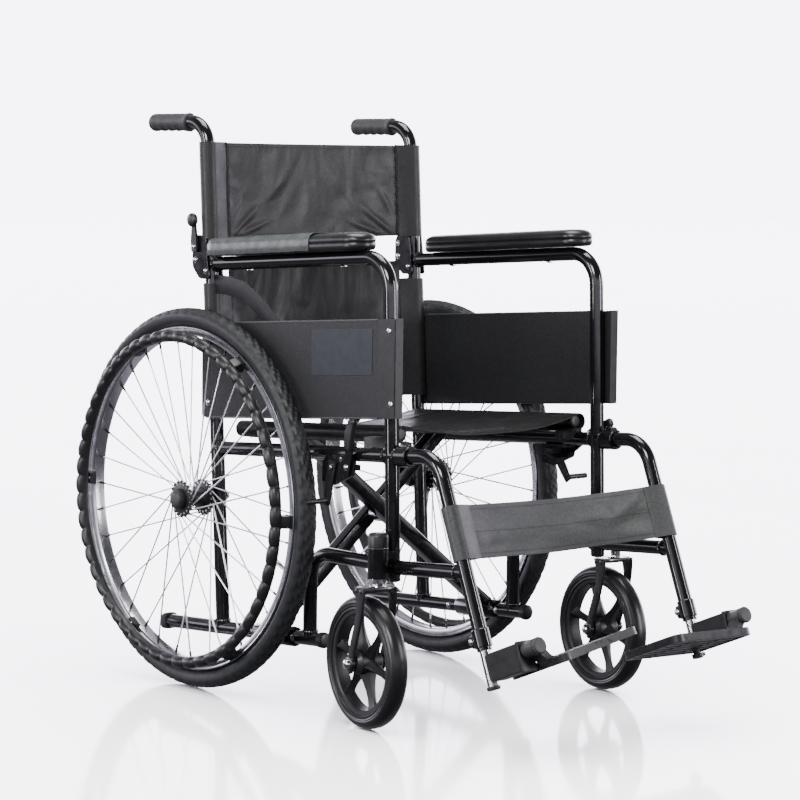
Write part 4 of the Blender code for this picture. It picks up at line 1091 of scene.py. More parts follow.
# ---- cross brace --------------------------------------------------------------------------
def cross_brace(low_side, offset, label):
    body, node = f"brace_{label}", f"cross_brace_{label}"
    back = BRACE_BACK + offset
    low = in_fold(low_side * FRAME_X, 0.0, back)
    high = in_fold(-low_side * SEAT_RAIL_X, SEAT_RAIL_H, back)
    along = (high - low).normalized()
    shape = bmesh.new()
    swept(shape, [low + along * 0.0128, high - along * 0.004], rounded(0.022, 0.024, 0.003), FOLD_AXIS)
    ends = [in_fold(low_side * FRAME_X, 0.0, end) for end in (-0.124, -0.216)]
    sleeve = [(0.0, 0.0117), (0.0, 0.015), (0.001, 0.0155), (0.0912, 0.0155), (0.0922, 0.015),
              (0.0922, 0.0117)]
    hoop(shape, ends[0], (ends[1] - ends[0]).normalized(), sleeve, 36)
    rail = [in_fold(-low_side * SEAT_RAIL_X, SEAT_RAIL_H, end) for end in (-0.054, -0.442)]
    tube(shape, rail)
    bead(shape, low + along * 0.0155, along, 0.0125, 0.0026)
    bead(shape, high - along * 0.0125, along, 0.0125, 0.0026)
    piece(shape, f"brace_bar_{label}", PAINT, body, [node], sharp=30.0)
    shape = bmesh.new()
    for end, axis in ((rail[0], -FOLD_AXIS), (rail[1], FOLD_AXIS)):
        stations = [(-0.006, 0.009), (0.0, 0.0112), (0.0016, 0.0112), (0.003, 0.0095), (0.0034, 0.006)]
        turned(shape, end - axis * 0.0005, axis, stations, 32)
    piece(shape, f"rail_ends_{label}", PLASTIC, body)


def brace_bolt():
    pivot = in_fold(0.0, BRACE_PIVOT_H, BRACE_BACK)
    outer = BRACE_OFFSET + 0.0114
    shape = bmesh.new()
    turned(shape, pivot - FOLD_AXIS * outer, FOLD_AXIS, [(0.0, 0.005), (2.0 * outer, 0.005)], 20)
    turned(shape, pivot - FOLD_AXIS * 0.0132, FOLD_AXIS, [(0.0, 0.011), (0.0264, 0.011)], 32)
    for sign in (-1, 1):
        place = pivot + FOLD_AXIS * (sign * outer)
        turned(shape, place, FOLD_AXIS * sign, [(0.0, 0.0105), (0.0012, 0.0105)], 32)
        hex_nut(shape, place + FOLD_AXIS * (sign * 0.0012), FOLD_AXIS * sign, 0.014, 0.0048)
    piece(shape, "brace_bolt", CHROME, "brace_rear", ["brace_pivot_bolt"], sharp=40.0)


# ---- footrests ----------------------------------------------------------------------------
def hanger(side):
    name = SIDE_NAME[side]
    x = side * FRAME_X
    end = at(x, *LEG_END)
    down = leg_axis()
    shape = bmesh.new()
    tube(shape, bend([at(x, *LEG_TOP), at(x, *LEG_KNEE), end], 0.05, 20))
    tube(shape, [at(x, *TIE_START), at(x, *TIE_END)])
    tie = (at(x, *TIE_END) - at(x, *TIE_START)).normalized()
    bead(shape, at(x, *TIE_END) - tie * 0.0125, tie)
    lug_middle = end - down * 0.017
    rear = down.cross(X_AXIS)
    rear = rear if rear.y > 0 else -rear
    collar = [(0.0, 0.0125), (0.001, 0.0132), (0.026, 0.0132), (0.027, 0.0125)]
    turned(shape, end - down * 0.032, down, collar, 36)
    path = [lug_middle + rear * reach for reach in (0.008, 0.0125, 0.017)]
    swept(shape, path, rounded(0.015, 0.02, 0.003), X_AXIS)
    piece(shape, f"hanger_tube_{name}", PAINT, f"{name}_frame", [f"hanger_{name}"], 0.0005)

    shape = bmesh.new()
    hex_nut(shape, lug_middle + rear * 0.017, rear, 0.0085, 0.004)
    screw(shape, lug_middle - X_AXIS * 0.0105 + rear * 0.0125, -X_AXIS, 0.004)
    screw(shape, lug_middle + X_AXIS * 0.0105 + rear * 0.0125, X_AXIS, 0.004)
    piece(shape, f"hanger_bolts_{name}", CHROME, f"{name}_frame")

    middle = at(x, LEG_TOP[0], side_rail_z(LEG_TOP[0]))
    shape = bmesh.new()
    profile = [(-0.0085, 0.0119), (-0.0085, 0.015), (-0.0075, 0.016), (0.0155, 0.016), (0.0165, 0.015),
               (0.0165, 0.0119)]
    hoop(shape, middle, FOLD_AXIS, profile, 40)
    ear = middle + FOLD_AXIS * 0.004 + Z_AXIS * 0.015
    swept(shape, [ear + Z_AXIS * lift for lift in (-0.003, 0.003, 0.005)],
          rounded(0.013, 0.018, 0.004), X_AXIS, [1.0, 1.0, 0.8])
    piece(shape, f"clamp_{name}", PAINT, f"{name}_frame", [f"hanger_clamp_{name}"], 0.0006)


def footrest(side):
    name = SIDE_NAME[side]
    x = side * FRAME_X
    end = at(x, *LEG_END)
    down = leg_axis()
    shape = bmesh.new()
    turned(shape, end + down * (0.058 - 0.15), down, [(0.0, 0.008), (0.1455, 0.008)], 28)
    piece(shape, f"height_tube_{name}", CHROME, f"footrest_{name}", [f"footrest_stem_{name}"])
    shape = bmesh.new()
    turned(shape, end + down * 0.0525, down,
           [(0.0, 0.009), (0.0005, 0.0102), (0.004, 0.0102), (0.0052, 0.009), (0.0055, 0.006)], 32)
    piece(shape, f"stem_foot_{name}", PLASTIC, f"footrest_{name}")

    outline = round_corners([(0.0, 0.006), (0.0745, 0.006), (0.0745, 0.047), (0.0, 0.047)], 0.006)
    shape = bmesh.new()
    loft(shape, [[foot_point(at_x, a, u) for a, u in outline] for at_x in (x - 0.0135, x + 0.0135)])
    ridge = round_corners([(0.069, 0.004), (0.0745, 0.004), (0.0745, 0.049), (0.069, 0.049)], 0.002)
    loft(shape, [[foot_point(at_x, a, u) for a, u in ridge] for at_x in (x - 0.0142, x + 0.0142)])
    piece(shape, f"pivot_block_{name}", PLASTIC, f"footrest_{name}", [f"footrest_block_{name}"],
          0.0022)


def footplate(side):
    """Slatted tread with a rim, carried by a barrel with a fluted knob."""
    name = SIDE_NAME[side]
    x = side * FRAME_X
    hinge = foot_point(x, 0.0, PIN_LIFT)
    inward = -side
    outer, inner = x + inward * 0.015, x + inward * (0.015 + PLATE_WIDTH)
    heel, toe = 0.004, PLATE_LENGTH
    shape = bmesh.new()
    corner = 0.016
    outline = [(outer, heel), (outer, toe), (inner, toe), (inner, heel)]
    ring_out = round_corners(outline, corner, 8)
    middle_x, middle_a = (outer + inner) / 2.0, (heel + toe) / 2.0
    wall = 0.0075
    ring_in = []
    for px, a in ring_out:
        shrink_x = 1.0 - wall / (PLATE_WIDTH / 2.0)
        shrink_a = 1.0 - wall / ((toe - heel) / 2.0)
        ring_in.append((middle_x + (px - middle_x) * shrink_x, middle_a + (a - middle_a) * shrink_a))
    levels = (0.0, 0.0012, PLATE_THICK - 0.0012, PLATE_THICK)
    rings = [[foot_point(px, a, up) for px, a in ring_out] for up in levels]
    rings += [[foot_point(px, a, up) for px, a in ring_in] for up in reversed(levels)]
    loft(shape, rings, closed=True)
    slats = 6
    for i in range(slats):
        ahead = heel + wall + (toe - heel - 2.0 * wall) * (i + 0.5) / slats
        ends = (outer + inward * 0.004, inner - inward * 0.004)
        path = [foot_point(px, ahead, PLATE_THICK * 0.52) for px in ends]
        swept(shape, path, rounded(0.01, 0.0105, 0.0014, 2), FOOT_AHEAD)
    for reach in (0.3, 0.68):
        px = outer + inward * PLATE_WIDTH * reach
        path = [foot_point(px, a, 0.003) for a in (heel + 0.004, toe - 0.004)]
        swept(shape, path, rounded(0.005, 0.005, 0.001, 2), X_AXIS)
    riser = [(x, 0.03), (x, 0.0235), (outer + inward * 0.002, 0.003), (outer + inward * 0.018, 0.003),
             (outer + inward * 0.018, 0.011), (outer + inward * 0.006, 0.015), (x + inward * 0.011, 0.033)]
    riser = round_corners(riser, 0.004)
    loft(shape, [[foot_point(px, a, up) for px, up in riser] for a in (0.0775, 0.0985)])
    knob_rings = []
    for distance, grow in ((0.0752, 0.93), (0.0764, 1.0), (0.099, 1.0), (0.0992, 0.9), (0.1, 0.9),
                           (0.1002, 1.0), (0.1046, 1.0), (0.1056, 0.95), (0.106, 0.82)):
        ring = []
        for i in range(60):
            a = tau * i / 60
            flute = 0.0004 * cos(a * 20.0) if 0.0765 < distance < 0.099 or distance > 0.1001 else 0.0
            radius = 0.012 * grow + flute
            place = hinge + FOOT_AHEAD * distance + X_AXIS * (radius * cos(a))
            ring.append(place + FOOT_AHEAD.cross(X_AXIS) * (radius * sin(a)))
        knob_rings.append(ring)
    roll = Matrix.Translation(hinge) @ Matrix.Rotation(-side * PLATE_ROLL[side], 4, FOOT_AHEAD)
    roll = roll @ Matrix.Translation(-hinge)
    shape.transform(roll)
    node = f"footplate_{name}"
    piece(shape, f"slatted_plate_{name}", PLATE_PLASTIC, node, [node], 0.0006)
    knob = bmesh.new()
    loft(knob, knob_rings)
    piece(knob, f"plate_knob_{name}", KNOB_PLASTIC, node, sharp=50.0)
    if side > 0:
        stop = bmesh.new()
        turned(stop, foot_point(outer + inward * 0.03, 0.03, 0.001), -FOOT_UP,
               [(0.0, 0.005), (0.006, 0.005), (0.0062, 0.0085), (0.012, 0.0085), (0.013, 0.0075)], 24)
        stop.transform(roll)
        piece(stop, f"heel_stop_{name}", PLASTIC, node, bevel=0.0004)


# ---- brakes -------------------------------------------------------------------------------
def brake_lever(side):
    """Steel blade with a plump plastic handle, bowed a little."""
    name = SIDE_NAME[side]
    axis = Vector(JOINTS[f"brake_lever_swing_{name}"]["pos_m"])
    lean = LEVER_LEAN[side]
    along = Vector((0.0, -sin(lean), cos(lean)))
    across = Vector((0.0, -cos(lean), -sin(lean)))
    blade = round_corners([(0.009, -0.012), (-0.009, -0.012), (-0.009, 0.012), (-0.0055, 0.046),
                           (0.0055, 0.046), (0.009, 0.012)], 0.005)
    shape = bmesh.new()
    faces = [axis, axis + X_AXIS * (side * 0.003)]
    loft(shape, [[place + across * a + along * b for a, b in blade] for place in faces])
    turned(shape, axis - X_AXIS * (side * 0.004), X_AXIS * side, [(0.0, 0.0034), (0.006, 0.0034)], 16)
    piece(shape, f"lever_blade_{name}", PAINT, f"brake_lever_{name}", bevel=0.0005)
    length = LEVER_LENGTH[side]
    shape = bmesh.new()
    section = rounded(0.01, 0.018, 0.0047, 6)
    steps = 26
    rings = []
    for i in range(steps + 1):
        t = i / steps
        reach = 0.028 + (length - 0.028) * t
        bow = 0.0022 * sin(pi * t)
        size = 0.86 + 0.14 * sin(pi * min(1.0, t * 1.3))
        size *= min(1.0, 0.3 + ((1.0 - t) / 0.1) ** 0.6) if t > 0.9 else 1.0
        size *= min(1.0, 0.8 + t / 0.15)
        middle = axis + X_AXIS * (side * 0.0048) + along * reach - across * bow
        rings.append([middle + (X_AXIS * a + across * b) * size for a, b in section])
    loft(shape, rings)
    piece(shape, f"lever_handle_{name}", PLASTIC, f"brake_lever_{name}", [f"brake_lever_{name}"],
          sharp=50.0)


def brake(side):
    name = SIDE_NAME[side]
    finer(f"brake_bracket_{name}", PAINT, f"{name}_frame")
    brake_lever(side)
    finer(f"brake_shoe_{name}", SATIN_PAINT, f"brake_shoe_{name}")
    finer(f"seat_saddle_{name}", SADDLE, f"{name}_frame")
    shape = bmesh.new()
    face = side * (FRAME_X + 0.018)
    flush_head = [(-0.001, 0.0036), (0.0002, 0.0036), (0.0003, 0.003)]
    for back, z in ((-0.3125, 0.372), (-0.3435, 0.396)):
        turned(shape, at(face, back, z), X_AXIS * side, flush_head, 20)
    piece(shape, f"brake_bolts_{name}", CHROME, f"{name}_frame")
    for label, joint in (("lever", f"brake_lever_swing_{name}"), ("shoe", f"brake_shoe_swing_{name}")):
        place = Vector(JOINTS[joint]["pos_m"])
        shape = bmesh.new()
        screw(shape, place + X_AXIS * side * 0.0028, X_AXIS * side, 0.0038, 0.003)
        piece(shape, f"brake_{label}_rivet_{name}", CHROME, f"brake_{label}_{name}")


# ---- cloth --------------------------------------------------------------------------------
def cloth_grid(name, corner, across, up, columns, rows, bulge):
    """A flat grid of cloth. bulge gives each point's push off the plane."""
    mesh = bpy.data.meshes.new(name)
    normal = across.cross(up).normalized()
    points = []
    for j in range(rows + 1):
        for i in range(columns + 1):
            u, v = i / columns, j / rows
            points.append(corner + across * u + up * v + normal * bulge(u, v))
    faces = []
    for j in range(rows):
        for i in range(columns):
            k = j * (columns + 1) + i
            faces.append((k, k + 1, k + columns + 2, k + columns + 1))
    mesh.from_pydata(points, [], faces)
    result = bpy.data.objects.new(name, mesh)
    bpy.context.scene.collection.objects.link(result)
    return result


def hang(cloth, pinned, frames, slack, stiffness=70.0, bending=0.6):
    """Let the cloth hang from its pinned points, with a little more cloth than the span."""
    group = cloth.vertex_groups.new(name="pinned")
    group.add(pinned, 1.0, "REPLACE")
    hung = cloth.modifiers.new("hang", "CLOTH")
    settings = hung.settings
    settings.quality = 7
    settings.mass = 0.25
    settings.tension_stiffness = stiffness
    settings.compression_stiffness = stiffness
    settings.shear_stiffness = stiffness * 0.5
    settings.bending_stiffness = bending
    settings.vertex_group_mass = "pinned"
    settings.shrink_min = -slack
    settings.shrink_max = -slack
    settings.effector_weights.gravity = WEIGHT_SHARE
    hung.collision_settings.use_collision = False
    scene = bpy.context.scene
    for step in range(1, frames + 1):
        scene.frame_set(step)
    shaped = cloth.evaluated_get(bpy.context.evaluated_depsgraph_get())
    points = [v.co.copy() for v in shaped.data.vertices]
    scene.frame_set(1)
    return points


def cloth_points(name, corner, across, up, columns, rows, bulge, pinned, slack, frames=26):
    """The grid's points after hanging, as rows of Vectors."""
    cloth = cloth_grid(name, corner, across, up, columns, rows, bulge)
    width = columns + 1
    held = [j * width + i for j in range(rows + 1) for i in range(width) if pinned(i / columns, j / rows)]
    points = hang(cloth, held, frames, slack)
    bpy.data.objects.remove(cloth)
    return [points[j * width:(j + 1) * width] for j in range(rows + 1)]


def normals_of(grid):
    rows, width = len(grid), len(grid[0])
    normals = []
    for j in range(rows):
        line = []
        for i in range(width):
            along = grid[j][min(i + 1, width - 1)] - grid[j][max(i - 1, 0)]
            upward = grid[min(j + 1, rows - 1)][i] - grid[max(j - 1, 0)][i]
            line.append(along.cross(upward).normalized())
        normals.append(line)
    return normals


def thick_cloth(shape, grid, thickness):
    """Closed cloth round a grid of points, with a rounded edge."""
    normals = normals_of(grid)
    rows, width = len(grid), len(grid[0])
    rings = []
    for j in range(rows):
        ring = [grid[j][i] + normals[j][i] * (thickness / 2.0) for i in range(width)]
        ring += [grid[j][i] - normals[j][i] * (thickness / 2.0) for i in reversed(range(width))]
        rings.append(ring)
    loft(shape, rings)


def along_grid(grid, normals, path):
    """Points and normals along (u, v) places on a grid."""
    rows, width = len(grid) - 1, len(grid[0]) - 1
    result = []
    for u, v in path:
        i, j = min(int(u * width), width - 1), min(int(v * rows), rows - 1)
        a, b = u * width - i, v * rows - j
        low = grid[j][i].lerp(grid[j][i + 1], a)
        high = grid[j + 1][i].lerp(grid[j + 1][i + 1], a)
        result.append((low.lerp(high, b), normals[j][i]))
    return result


def stitch(shape, grid, normals, start, end, lift, pitch=0.0042, material=1):
    """A row of short threads between two (u, v) places, on both faces of the cloth."""
    first, last = along_grid(grid, normals, (start, end))
    count = max(2, int((last[0] - first[0]).length / pitch))
    places = [tuple(s + (e - s) * (k + part) / count for s, e in zip(start, end))
              for k in range(count) for part in (0.15, 0.8)]
    points = along_grid(grid, normals, places)
    for k in range(0, len(points), 2):
        for sign in (-1.0, 1.0):
            path = [point + normal * (sign * lift) for point, normal in points[k:k + 2]]
            middle = (path[0] + path[1]) / 2.0 + points[k][1] * (sign * 0.0003)
            swept(shape, [path[0], middle, path[1]], disc(0.00045, 5), points[k][1], [0.5, 1.0, 0.5],
                  material)


def sleeve_outline(radius, reach, seam_half, sign, steps=22):
    """Cloth round a tube, closing to a double layer at reach; (across, behind) points."""
    outline = []
    for step in range(steps + 1):
        a = radians(62.0) + radians(236.0) * step / steps
        outline.append((-sign * radius * cos(a), radius * sin(a)))
    for t in (0.35, 0.7, 1.0):
        outline.append((-sign * (radius * 0.47 + (reach - radius * 0.47) * t),
                        -(radius * 0.88 * (1 - t) ** 1.3 + seam_half)))
    tail = [(across, -behind) for across, behind in reversed(outline[-3:])]
    return outline + tail


def post_sleeve(name, side, low, high, body):
    """Hem sewn round a back post, ending at the seam of the panel."""
    reach = FRAME_X - BACK_SEAM
    shape = bmesh.new()
    rings = []
    count = 26
    for inner in (False, True):
        for i in (range(count + 1) if not inner else range(count, -1, -1)):
            z = low + (high - low) * i / count
            radius = 0.0146 - (0.0016 if inner else 0.0)
            seam_half = 0.0004 if inner else 0.0014
            outline = sleeve_outline(radius, reach - (0.001 if inner else 0.0), seam_half, side)
            middle = rear_post(side, z)
            ring = []
            for across, behind in outline:
                weight = min(1.0, max(0.0, (abs(across) - 0.01) / 0.012))
                crease = 0.0011 * noise.noise(Vector((across * 55.0, z * 16.0, side * 3.0))) * (0.3 + weight)
                ring.append(middle + Vector((across, behind + crease, 0.0)))
            rings.append(ring)
    loft(shape, rings, closed=True)
    sleeve = piece(shape, name, [SLEEVE_NYLON, THREAD], body, sharp=50.0)


def piping(name, side, low, high, body):
    """Corded seam between a sleeve and the panel, a little ruffled."""
    shape = bmesh.new()
    path, scales = [], []
    count = 90
    for i in range(count + 1):
        z = low + (high - low) * i / count
        wobble = 0.0007 * sin(i * 1.9) + 0.0005 * sin(i * 0.7 + side)
        path.append(rear_post(side, z) + Vector((-side * (FRAME_X - BACK_SEAM) + wobble, -0.0008, 0.0)))
        scales.append(1.0 + 0.16 * sin(i * 2.3))
    swept(shape, path, disc(0.0026, 10), X_AXIS, scales)
    piece(shape, name, THREAD, body, sharp=60.0)


def folds(u, v, seed, size):
    """Creases that run in from the corners, over the soft waves of slack cloth."""
    value = 0.0
    for middle_u, middle_v, angle, width, length, height in CREASES:
        du, dv = u - middle_u, (v - middle_v) * 0.6
        off = -du * sin(angle) + dv * cos(angle)
        along = du * cos(angle) + dv * sin(angle)
        value += height * exp(-abs(off / width) ** 1.3 - (along / length) ** 2)
    value += 0.45 * noise.noise(Vector((u * 3.2, v * 2.4, seed)))
    value += 0.25 * noise.noise(Vector((u * 8.0, v * 5.0, seed + 4.0)))
    edge = min(1.0, min(u, 1.0 - u) / 0.06) * min(1.0, (1.05 - v) / 0.15)
    return size * value * edge


def back_panel(name, node, low, high, body, material, seed, columns, rows, sag):
    """Sling between the seams of the two sleeves, slack enough to crease."""
    half = BACK_HALF
    corner, top = rear_post(1, low), rear_post(1, high)
    corner.x = -half
    top.x = -half
    across, up = X_AXIS * (2.0 * half), top - corner

    def bulge(u, v):
        belly = sag * sin(pi * u) ** 0.8 * (0.75 + 0.25 * sin(pi * v))
        return -belly + folds(u, v, seed, 0.0062)

    grid = cloth_points(name + "_flat", corner, across, up, columns, rows, bulge,
                        lambda u, v: u < 0.001 or u > 0.999 or v > 0.999, 0.0022)
    shape = bmesh.new()
    thick_cloth(shape, grid, CLOTH_THICK)
    normals = normals_of(grid)
    inset = 1.6 / rows
    for v in (inset, 1.0 - inset):
        stitch(shape, grid, normals, (0.01, v), (0.99, v), 0.001)
    for u in (0.018, 0.982):
        stitch(shape, grid, normals, (u, 0.01), (u, 0.99), 0.001)
    panel = piece(shape, name, [material, THREAD], body, [node], sharp=50.0)
    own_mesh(panel)


def backrest():
    low, high = 0.7208, 0.8728
    back_panel("back_panel_upper", "back_upper", low, high, "back_cane_right", BACK_NYLON, 1.0,
               96, 42, 0.01)
    for side in (-1, 1):
        name = SIDE_NAME[side]
        post_sleeve(f"back_sleeve_{name}", side, low - 0.001, high + 0.001, f"back_cane_{name}")
        piping(f"back_piping_{name}", side, low, high, f"back_cane_{name}")
    low, high = 0.45, 0.678
    back_panel("back_panel_lower", "back_lower", low, high, "right_frame", SEAT_NYLON, 7.0,
               96, 60, 0.014)
    for side in (-1, 1):
        name = SIDE_NAME[side]
        post_sleeve(f"lower_sleeve_{name}", side, low, 0.648, f"{name}_frame")


def seat():
    """Sling over the two seat rails, hemmed under them, with slack folds at its front."""
    half = SEAT_RAIL_X
    rear, front = -0.054, -0.4515
    lift = SEAT_RAIL_H + TUBE_R + 0.0012
    corner = in_fold(-half, lift, front)
    across = X_AXIS * (2.0 * half)
    length = in_fold(-half, lift, rear) - corner
    columns, rows = 64, 56

    def bulge(u, v):
        belly = 0.012 * sin(pi * u) ** 0.7
        front_folds = 0.0045 * 2.718 ** (-v / 0.1) * noise.noise(Vector((u * 9.0, v * 3.0, 2.0)))
        return -belly + folds(u, v, 3.0, 0.0022) + front_folds * min(1.0, min(u, 1.0 - u) / 0.05)

    grid = cloth_points("seat_flat", corner, across, length, columns, rows, bulge,
                        lambda u, v: u < 0.001 or u > 0.999, 0.0035)
    wrapped = []
    wrap = 10
    for j, row in enumerate(grid):
        v = j / rows
        back = front + (rear - front) * v
        line = []
        for side in (-1, 1):
            rail = in_fold(side * half, SEAT_RAIL_H, back)
            arc = []
            for step in range(1, wrap + 1):
                a = pi / 2.0 - side * radians(200.0) * step / wrap
                radius = TUBE_R + 0.0012
                arc.append(rail + X_AXIS * (radius * cos(a)) + FOLD_UP * (radius * sin(a)))
            hem = arc[-1] + X_AXIS * (-side * 0.012) + FOLD_UP * -0.003
            arc.append(hem)
            line.append(arc)
        wrapped.append(list(reversed(line[0])) + row + line[1])
    shape = bmesh.new()
    thick_cloth(shape, wrapped, CLOTH_THICK)
    normals = normals_of(wrapped)
    for v in (0.022, 0.06, 0.965):
        stitch(shape, wrapped, normals, (0.15, v), (0.85, v), 0.001)
    for u in (0.175, 0.825):
        stitch(shape, wrapped, normals, (u, 0.01), (u, 0.99), 0.001)
    sling = piece(shape, "seat_sling", [SEAT_NYLON, THREAD], None, ["seat"], sharp=50.0)
    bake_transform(sling)


def calf_strap():
    """Wide band between the hanger tubes, with a loop sewn round each."""
    down = leg_axis()
    end = at(0.0, *LEG_END)
    top, bottom = 0.215, 0.134
    half = 0.184
    ahead = down.cross(X_AXIS)
    ahead = ahead if ahead.y < 0 else -ahead
    corner = end - down * bottom - X_AXIS * half + ahead * 0.003
    up = -down * (top - bottom)
    columns, rows = 80, 22

    def bulge(u, v):
        ripple = 0.0022 * noise.noise(Vector((u * 7.0, v * 1.5, 5.0))) + 0.0012 * sin(u * tau * 6.5 + v)
        return (0.003 * sin(pi * u) + ripple * (0.6 + 0.4 * sin(pi * v))) * min(1.0, min(u, 1.0 - u) / 0.05)

    grid = cloth_points("strap_flat", corner, X_AXIS * (2.0 * half), up, columns, rows, bulge,
                        lambda u, v: u < 0.001 or u > 0.999, 0.003)
    shape = bmesh.new()
    thick_cloth(shape, grid, 0.003)
    normals = normals_of(grid)
    for v in (0.085, 0.5, 0.915):
        stitch(shape, grid, normals, (0.005, v), (0.995, v), 0.0016)
    strap = piece(shape, "calf_band", [STRAP_NYLON, THREAD], "right_frame", ["calf_strap"],
                  sharp=50.0)
    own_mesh(strap)

    for side in (-1, 1):
        name = SIDE_NAME[side]
        shape = bmesh.new()
        rings = []
        count = 16
        for inner in (False, True):
            for i in (range(count + 1) if not inner else range(count, -1, -1)):
                middle = at(side * FRAME_X, *LEG_END) - down * (bottom + (top - bottom) * i / count)
                radius = 0.014 - (0.0018 if inner else 0.0)
                reach = FRAME_X - half + 0.002
                seam_half = 0.0006 if inner else 0.0019
                outline = sleeve_outline(radius, reach - (0.001 if inner else 0.0), seam_half, side)
                shift = 0.003
                ring = []
                for across, behind in outline:
                    weight = min(1.0, max(0.0, (abs(across) - 0.004) / 0.025)) if across * side < 0 else 0.0
                    ring.append(middle + X_AXIS * across - ahead * behind + ahead * (shift * weight))
                rings.append(ring)
        loft(shape, rings, closed=True)
        loop = piece(shape, f"calf_loop_{name}", STRAP_NYLON, f"{name}_frame",
                     sharp=50.0)


# ---- the chair ----------------------------------------------------------------------------
for chair_side in (-1, 1):
    side_frame(chair_side)
    frame_screws(chair_side)
    rail_tip(chair_side)
    armrest(chair_side)
    side_panel(chair_side)
    back_cane(chair_side)
    back_latch(chair_side)
    rear_wheel(chair_side)
    caster_fork(chair_side)
    caster_wheel(chair_side)
    hanger(chair_side)
    footrest(chair_side)
    footplate(chair_side)
    brake(chair_side)
pad_film()
side_strap()
cross_brace(-1, BRACE_OFFSET, "rear")
cross_brace(1, -BRACE_OFFSET, "front")
brace_bolt()
backrest()
seat()
calf_strap()


# ---- floor, light and camera --------------------------------------------------------------
def camera():
    az, el = CAMERA_AZIMUTH, CAMERA_ELEVATION
    right = Vector((cos(az), sin(az), 0.0))
    back = Vector((sin(az) * cos(el), -cos(az) * cos(el), sin(el)))
    up = back.cross(right)
    turned_right = right * cos(CAMERA_ROLL) + up * sin(CAMERA_ROLL)
    turned_up = up * cos(CAMERA_ROLL) - right * sin(CAMERA_ROLL)
    data = bpy.data.cameras.new("camera")
    data.lens = CAMERA_LENS
    data.sensor_width = 36.0
    data.clip_end = 100.0
    result = bpy.data.objects.new("camera", data)
    place = CAMERA_TARGET + back * CAMERA_DISTANCE
    rows = Matrix((turned_right, turned_up, back)).transposed().to_4x4()
    result.matrix_world = Matrix.Translation(place) @ rows
    bpy.context.scene.collection.objects.link(result)
    bpy.context.scene.camera = result


def area_light(name, place, target, width, height, power):
    data = bpy.data.lights.new(name, "AREA")
    data.shape = "RECTANGLE"
    data.size = width
    data.size_y = height
    data.energy = power
    result = bpy.data.objects.new(name, data)
    place, target = Vector(place), Vector(target)
    result.location = place
    result.rotation_euler = (target - place).to_track_quat("-Z", "Y").to_euler()
    bpy.context.scene.collection.objects.link(result)
    return result


def floor(chair_lights):
    """A pale floor that mirrors softly. It has its own even light, and the chair's lights leave it out."""
    shape = bmesh.new()
    signs = ((-1, -1), (1, -1), (1, 1), (-1, 1))
    shape.faces.new([shape.verts.new((a * FLOOR_HALF, b * FLOOR_HALF, -0.0005)) for a, b in signs])
    mesh = bpy.data.meshes.new("floor")
    shape.to_mesh(mesh)
    shape.free()
    result = bpy.data.objects.new("floor", mesh)
    result.visible_diffuse = False
    result.visible_glossy = False
    material = new_material("pale_floor", (0.86, 0.855, 0.9), 0.2)
    set_colours(material, noise_of(material, 1.2, 3.0), (0.84, 0.835, 0.88), (0.88, 0.875, 0.915))
    set_roughness(material, noise_of(material, 3.0, 4.0), 0.07, 0.12)
    mesh.materials.append(material)
    receivers = bpy.data.collections.new("floor_only")
    bpy.context.scene.collection.children.link(receivers)
    receivers.objects.link(result)
    data = bpy.data.lights.new("floor_light", "SUN")
    data.energy = FLOOR_POWER
    data.angle = radians(100.0)
    lamp = bpy.data.objects.new("floor_light", data)
    lamp.location = (0.0, 0.0, 6.0)
    bpy.context.scene.collection.objects.link(lamp)
    lamp.light_linking.receiver_collection = receivers
    others = bpy.data.collections.new("all_but_floor")
    others.objects.link(result)
    others.collection_objects[0].light_linking.link_state = "EXCLUDE"
    for light in chair_lights:
        light.light_linking.receiver_collection = others


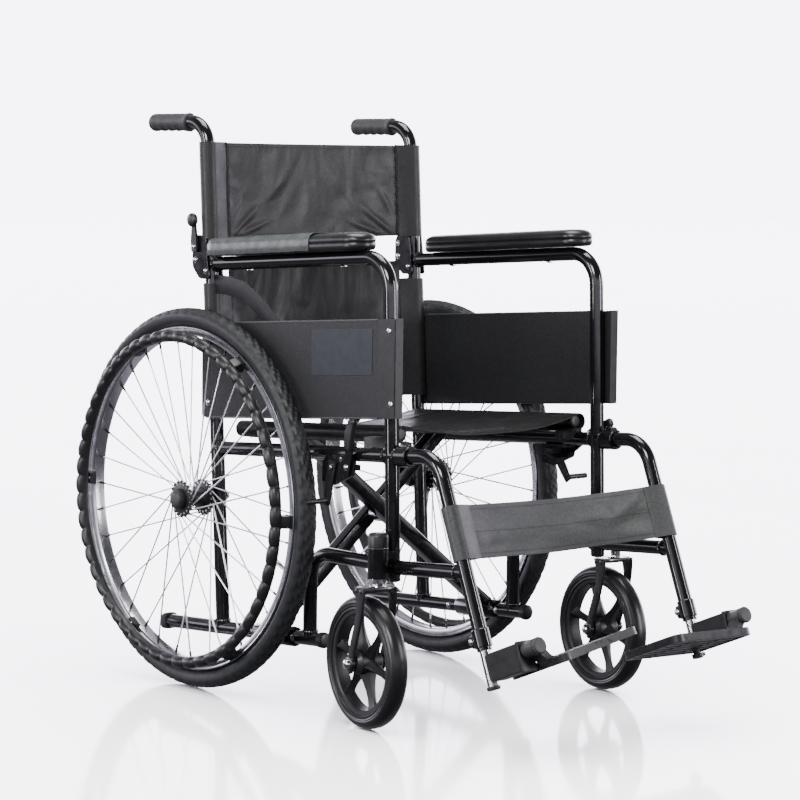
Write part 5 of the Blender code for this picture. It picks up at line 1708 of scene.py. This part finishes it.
def world():
    """A low bright backdrop behind the chair, dim above it, below it and on the camera's side.

    Seen directly it is an even white, as a studio wall is.
    """
    made = bpy.data.worlds.new("studio")
    made.use_nodes = True
    tree = made.node_tree
    background = tree.nodes["Background"]
    background.inputs["Color"].default_value = (0.9, 0.86, 1.0, 1.0)
    place = tree.nodes.new("ShaderNodeTexCoord")
    parts = tree.nodes.new("ShaderNodeSeparateXYZ")
    ramp = tree.nodes.new("ShaderNodeValToRGB")
    ramp.color_ramp.elements[0].position = 0.0
    ramp.color_ramp.elements[0].color = (WORLD_BELOW, WORLD_BELOW, WORLD_BELOW, 1.0)
    ramp.color_ramp.elements[1].position = 1.0
    ramp.color_ramp.elements[1].color = (WORLD_ABOVE, WORLD_ABOVE, WORLD_ABOVE, 1.0)
    for position, value in ((0.496, WORLD_BELOW), (0.499, 1.0), (0.61, 1.0), (0.68, WORLD_ABOVE)):
        element = ramp.color_ramp.elements.new(position)
        element.color = (value, value, value, 1.0)
    height = tree.nodes.new("ShaderNodeMapRange")
    height.inputs["From Min"].default_value = -1.0
    tree.links.new(place.outputs["Generated"], parts.inputs["Vector"])
    tree.links.new(parts.outputs["Z"], height.inputs["Value"])
    tree.links.new(height.outputs["Result"], ramp.inputs["Fac"])
    toward = tree.nodes.new("ShaderNodeVectorMath")
    toward.operation = "DOT_PRODUCT"
    toward.inputs[1].default_value = BACKDROP_SIDE
    backdrop = tree.nodes.new("ShaderNodeMapRange")
    backdrop.interpolation_type = "SMOOTHSTEP"
    backdrop.inputs["From Min"].default_value = -0.1
    backdrop.inputs["From Max"].default_value = 0.8
    backdrop.inputs["To Min"].default_value = WORLD_FRONT
    tree.links.new(place.outputs["Generated"], toward.inputs[0])
    tree.links.new(toward.outputs["Value"], backdrop.inputs["Value"])
    lit = tree.nodes.new("ShaderNodeMath")
    lit.operation = "MULTIPLY"
    tree.links.new(ramp.outputs["Color"], lit.inputs[0])
    tree.links.new(backdrop.outputs["Result"], lit.inputs[1])
    seen = tree.nodes.new("ShaderNodeLightPath")
    shown = tree.nodes.new("ShaderNodeMix")
    shown.inputs["B"].default_value = WORLD_SEEN
    strength = tree.nodes.new("ShaderNodeMath")
    strength.operation = "MULTIPLY"
    strength.inputs[1].default_value = WORLD_STRENGTH
    tree.links.new(lit.outputs["Value"], shown.inputs["A"])
    tree.links.new(seen.outputs["Is Camera Ray"], shown.inputs["Factor"])
    tree.links.new(shown.outputs["Result"], strength.inputs[0])
    tree.links.new(strength.outputs["Value"], background.inputs["Strength"])
    bpy.context.scene.world = made


camera()
lights = [
    area_light("key", (-3.4, -1.6, 3.0), (0.0, 0.0, 0.4), 1.4, 1.4, 150.0),
    area_light("strip_left", (-3.6, 0.8, 1.2), (0.0, 0.0, 0.5), 0.3, 2.4, 70.0),
    area_light("strip_right", (1.8, -3.6, 1.2), (0.0, 0.0, 0.5), 0.3, 2.4, 70.0),
    area_light("top", (0.2, 0.4, 3.6), (0.0, 0.0, 0.4), 2.0, 2.0, 120.0),
]
floor(lights)
world()
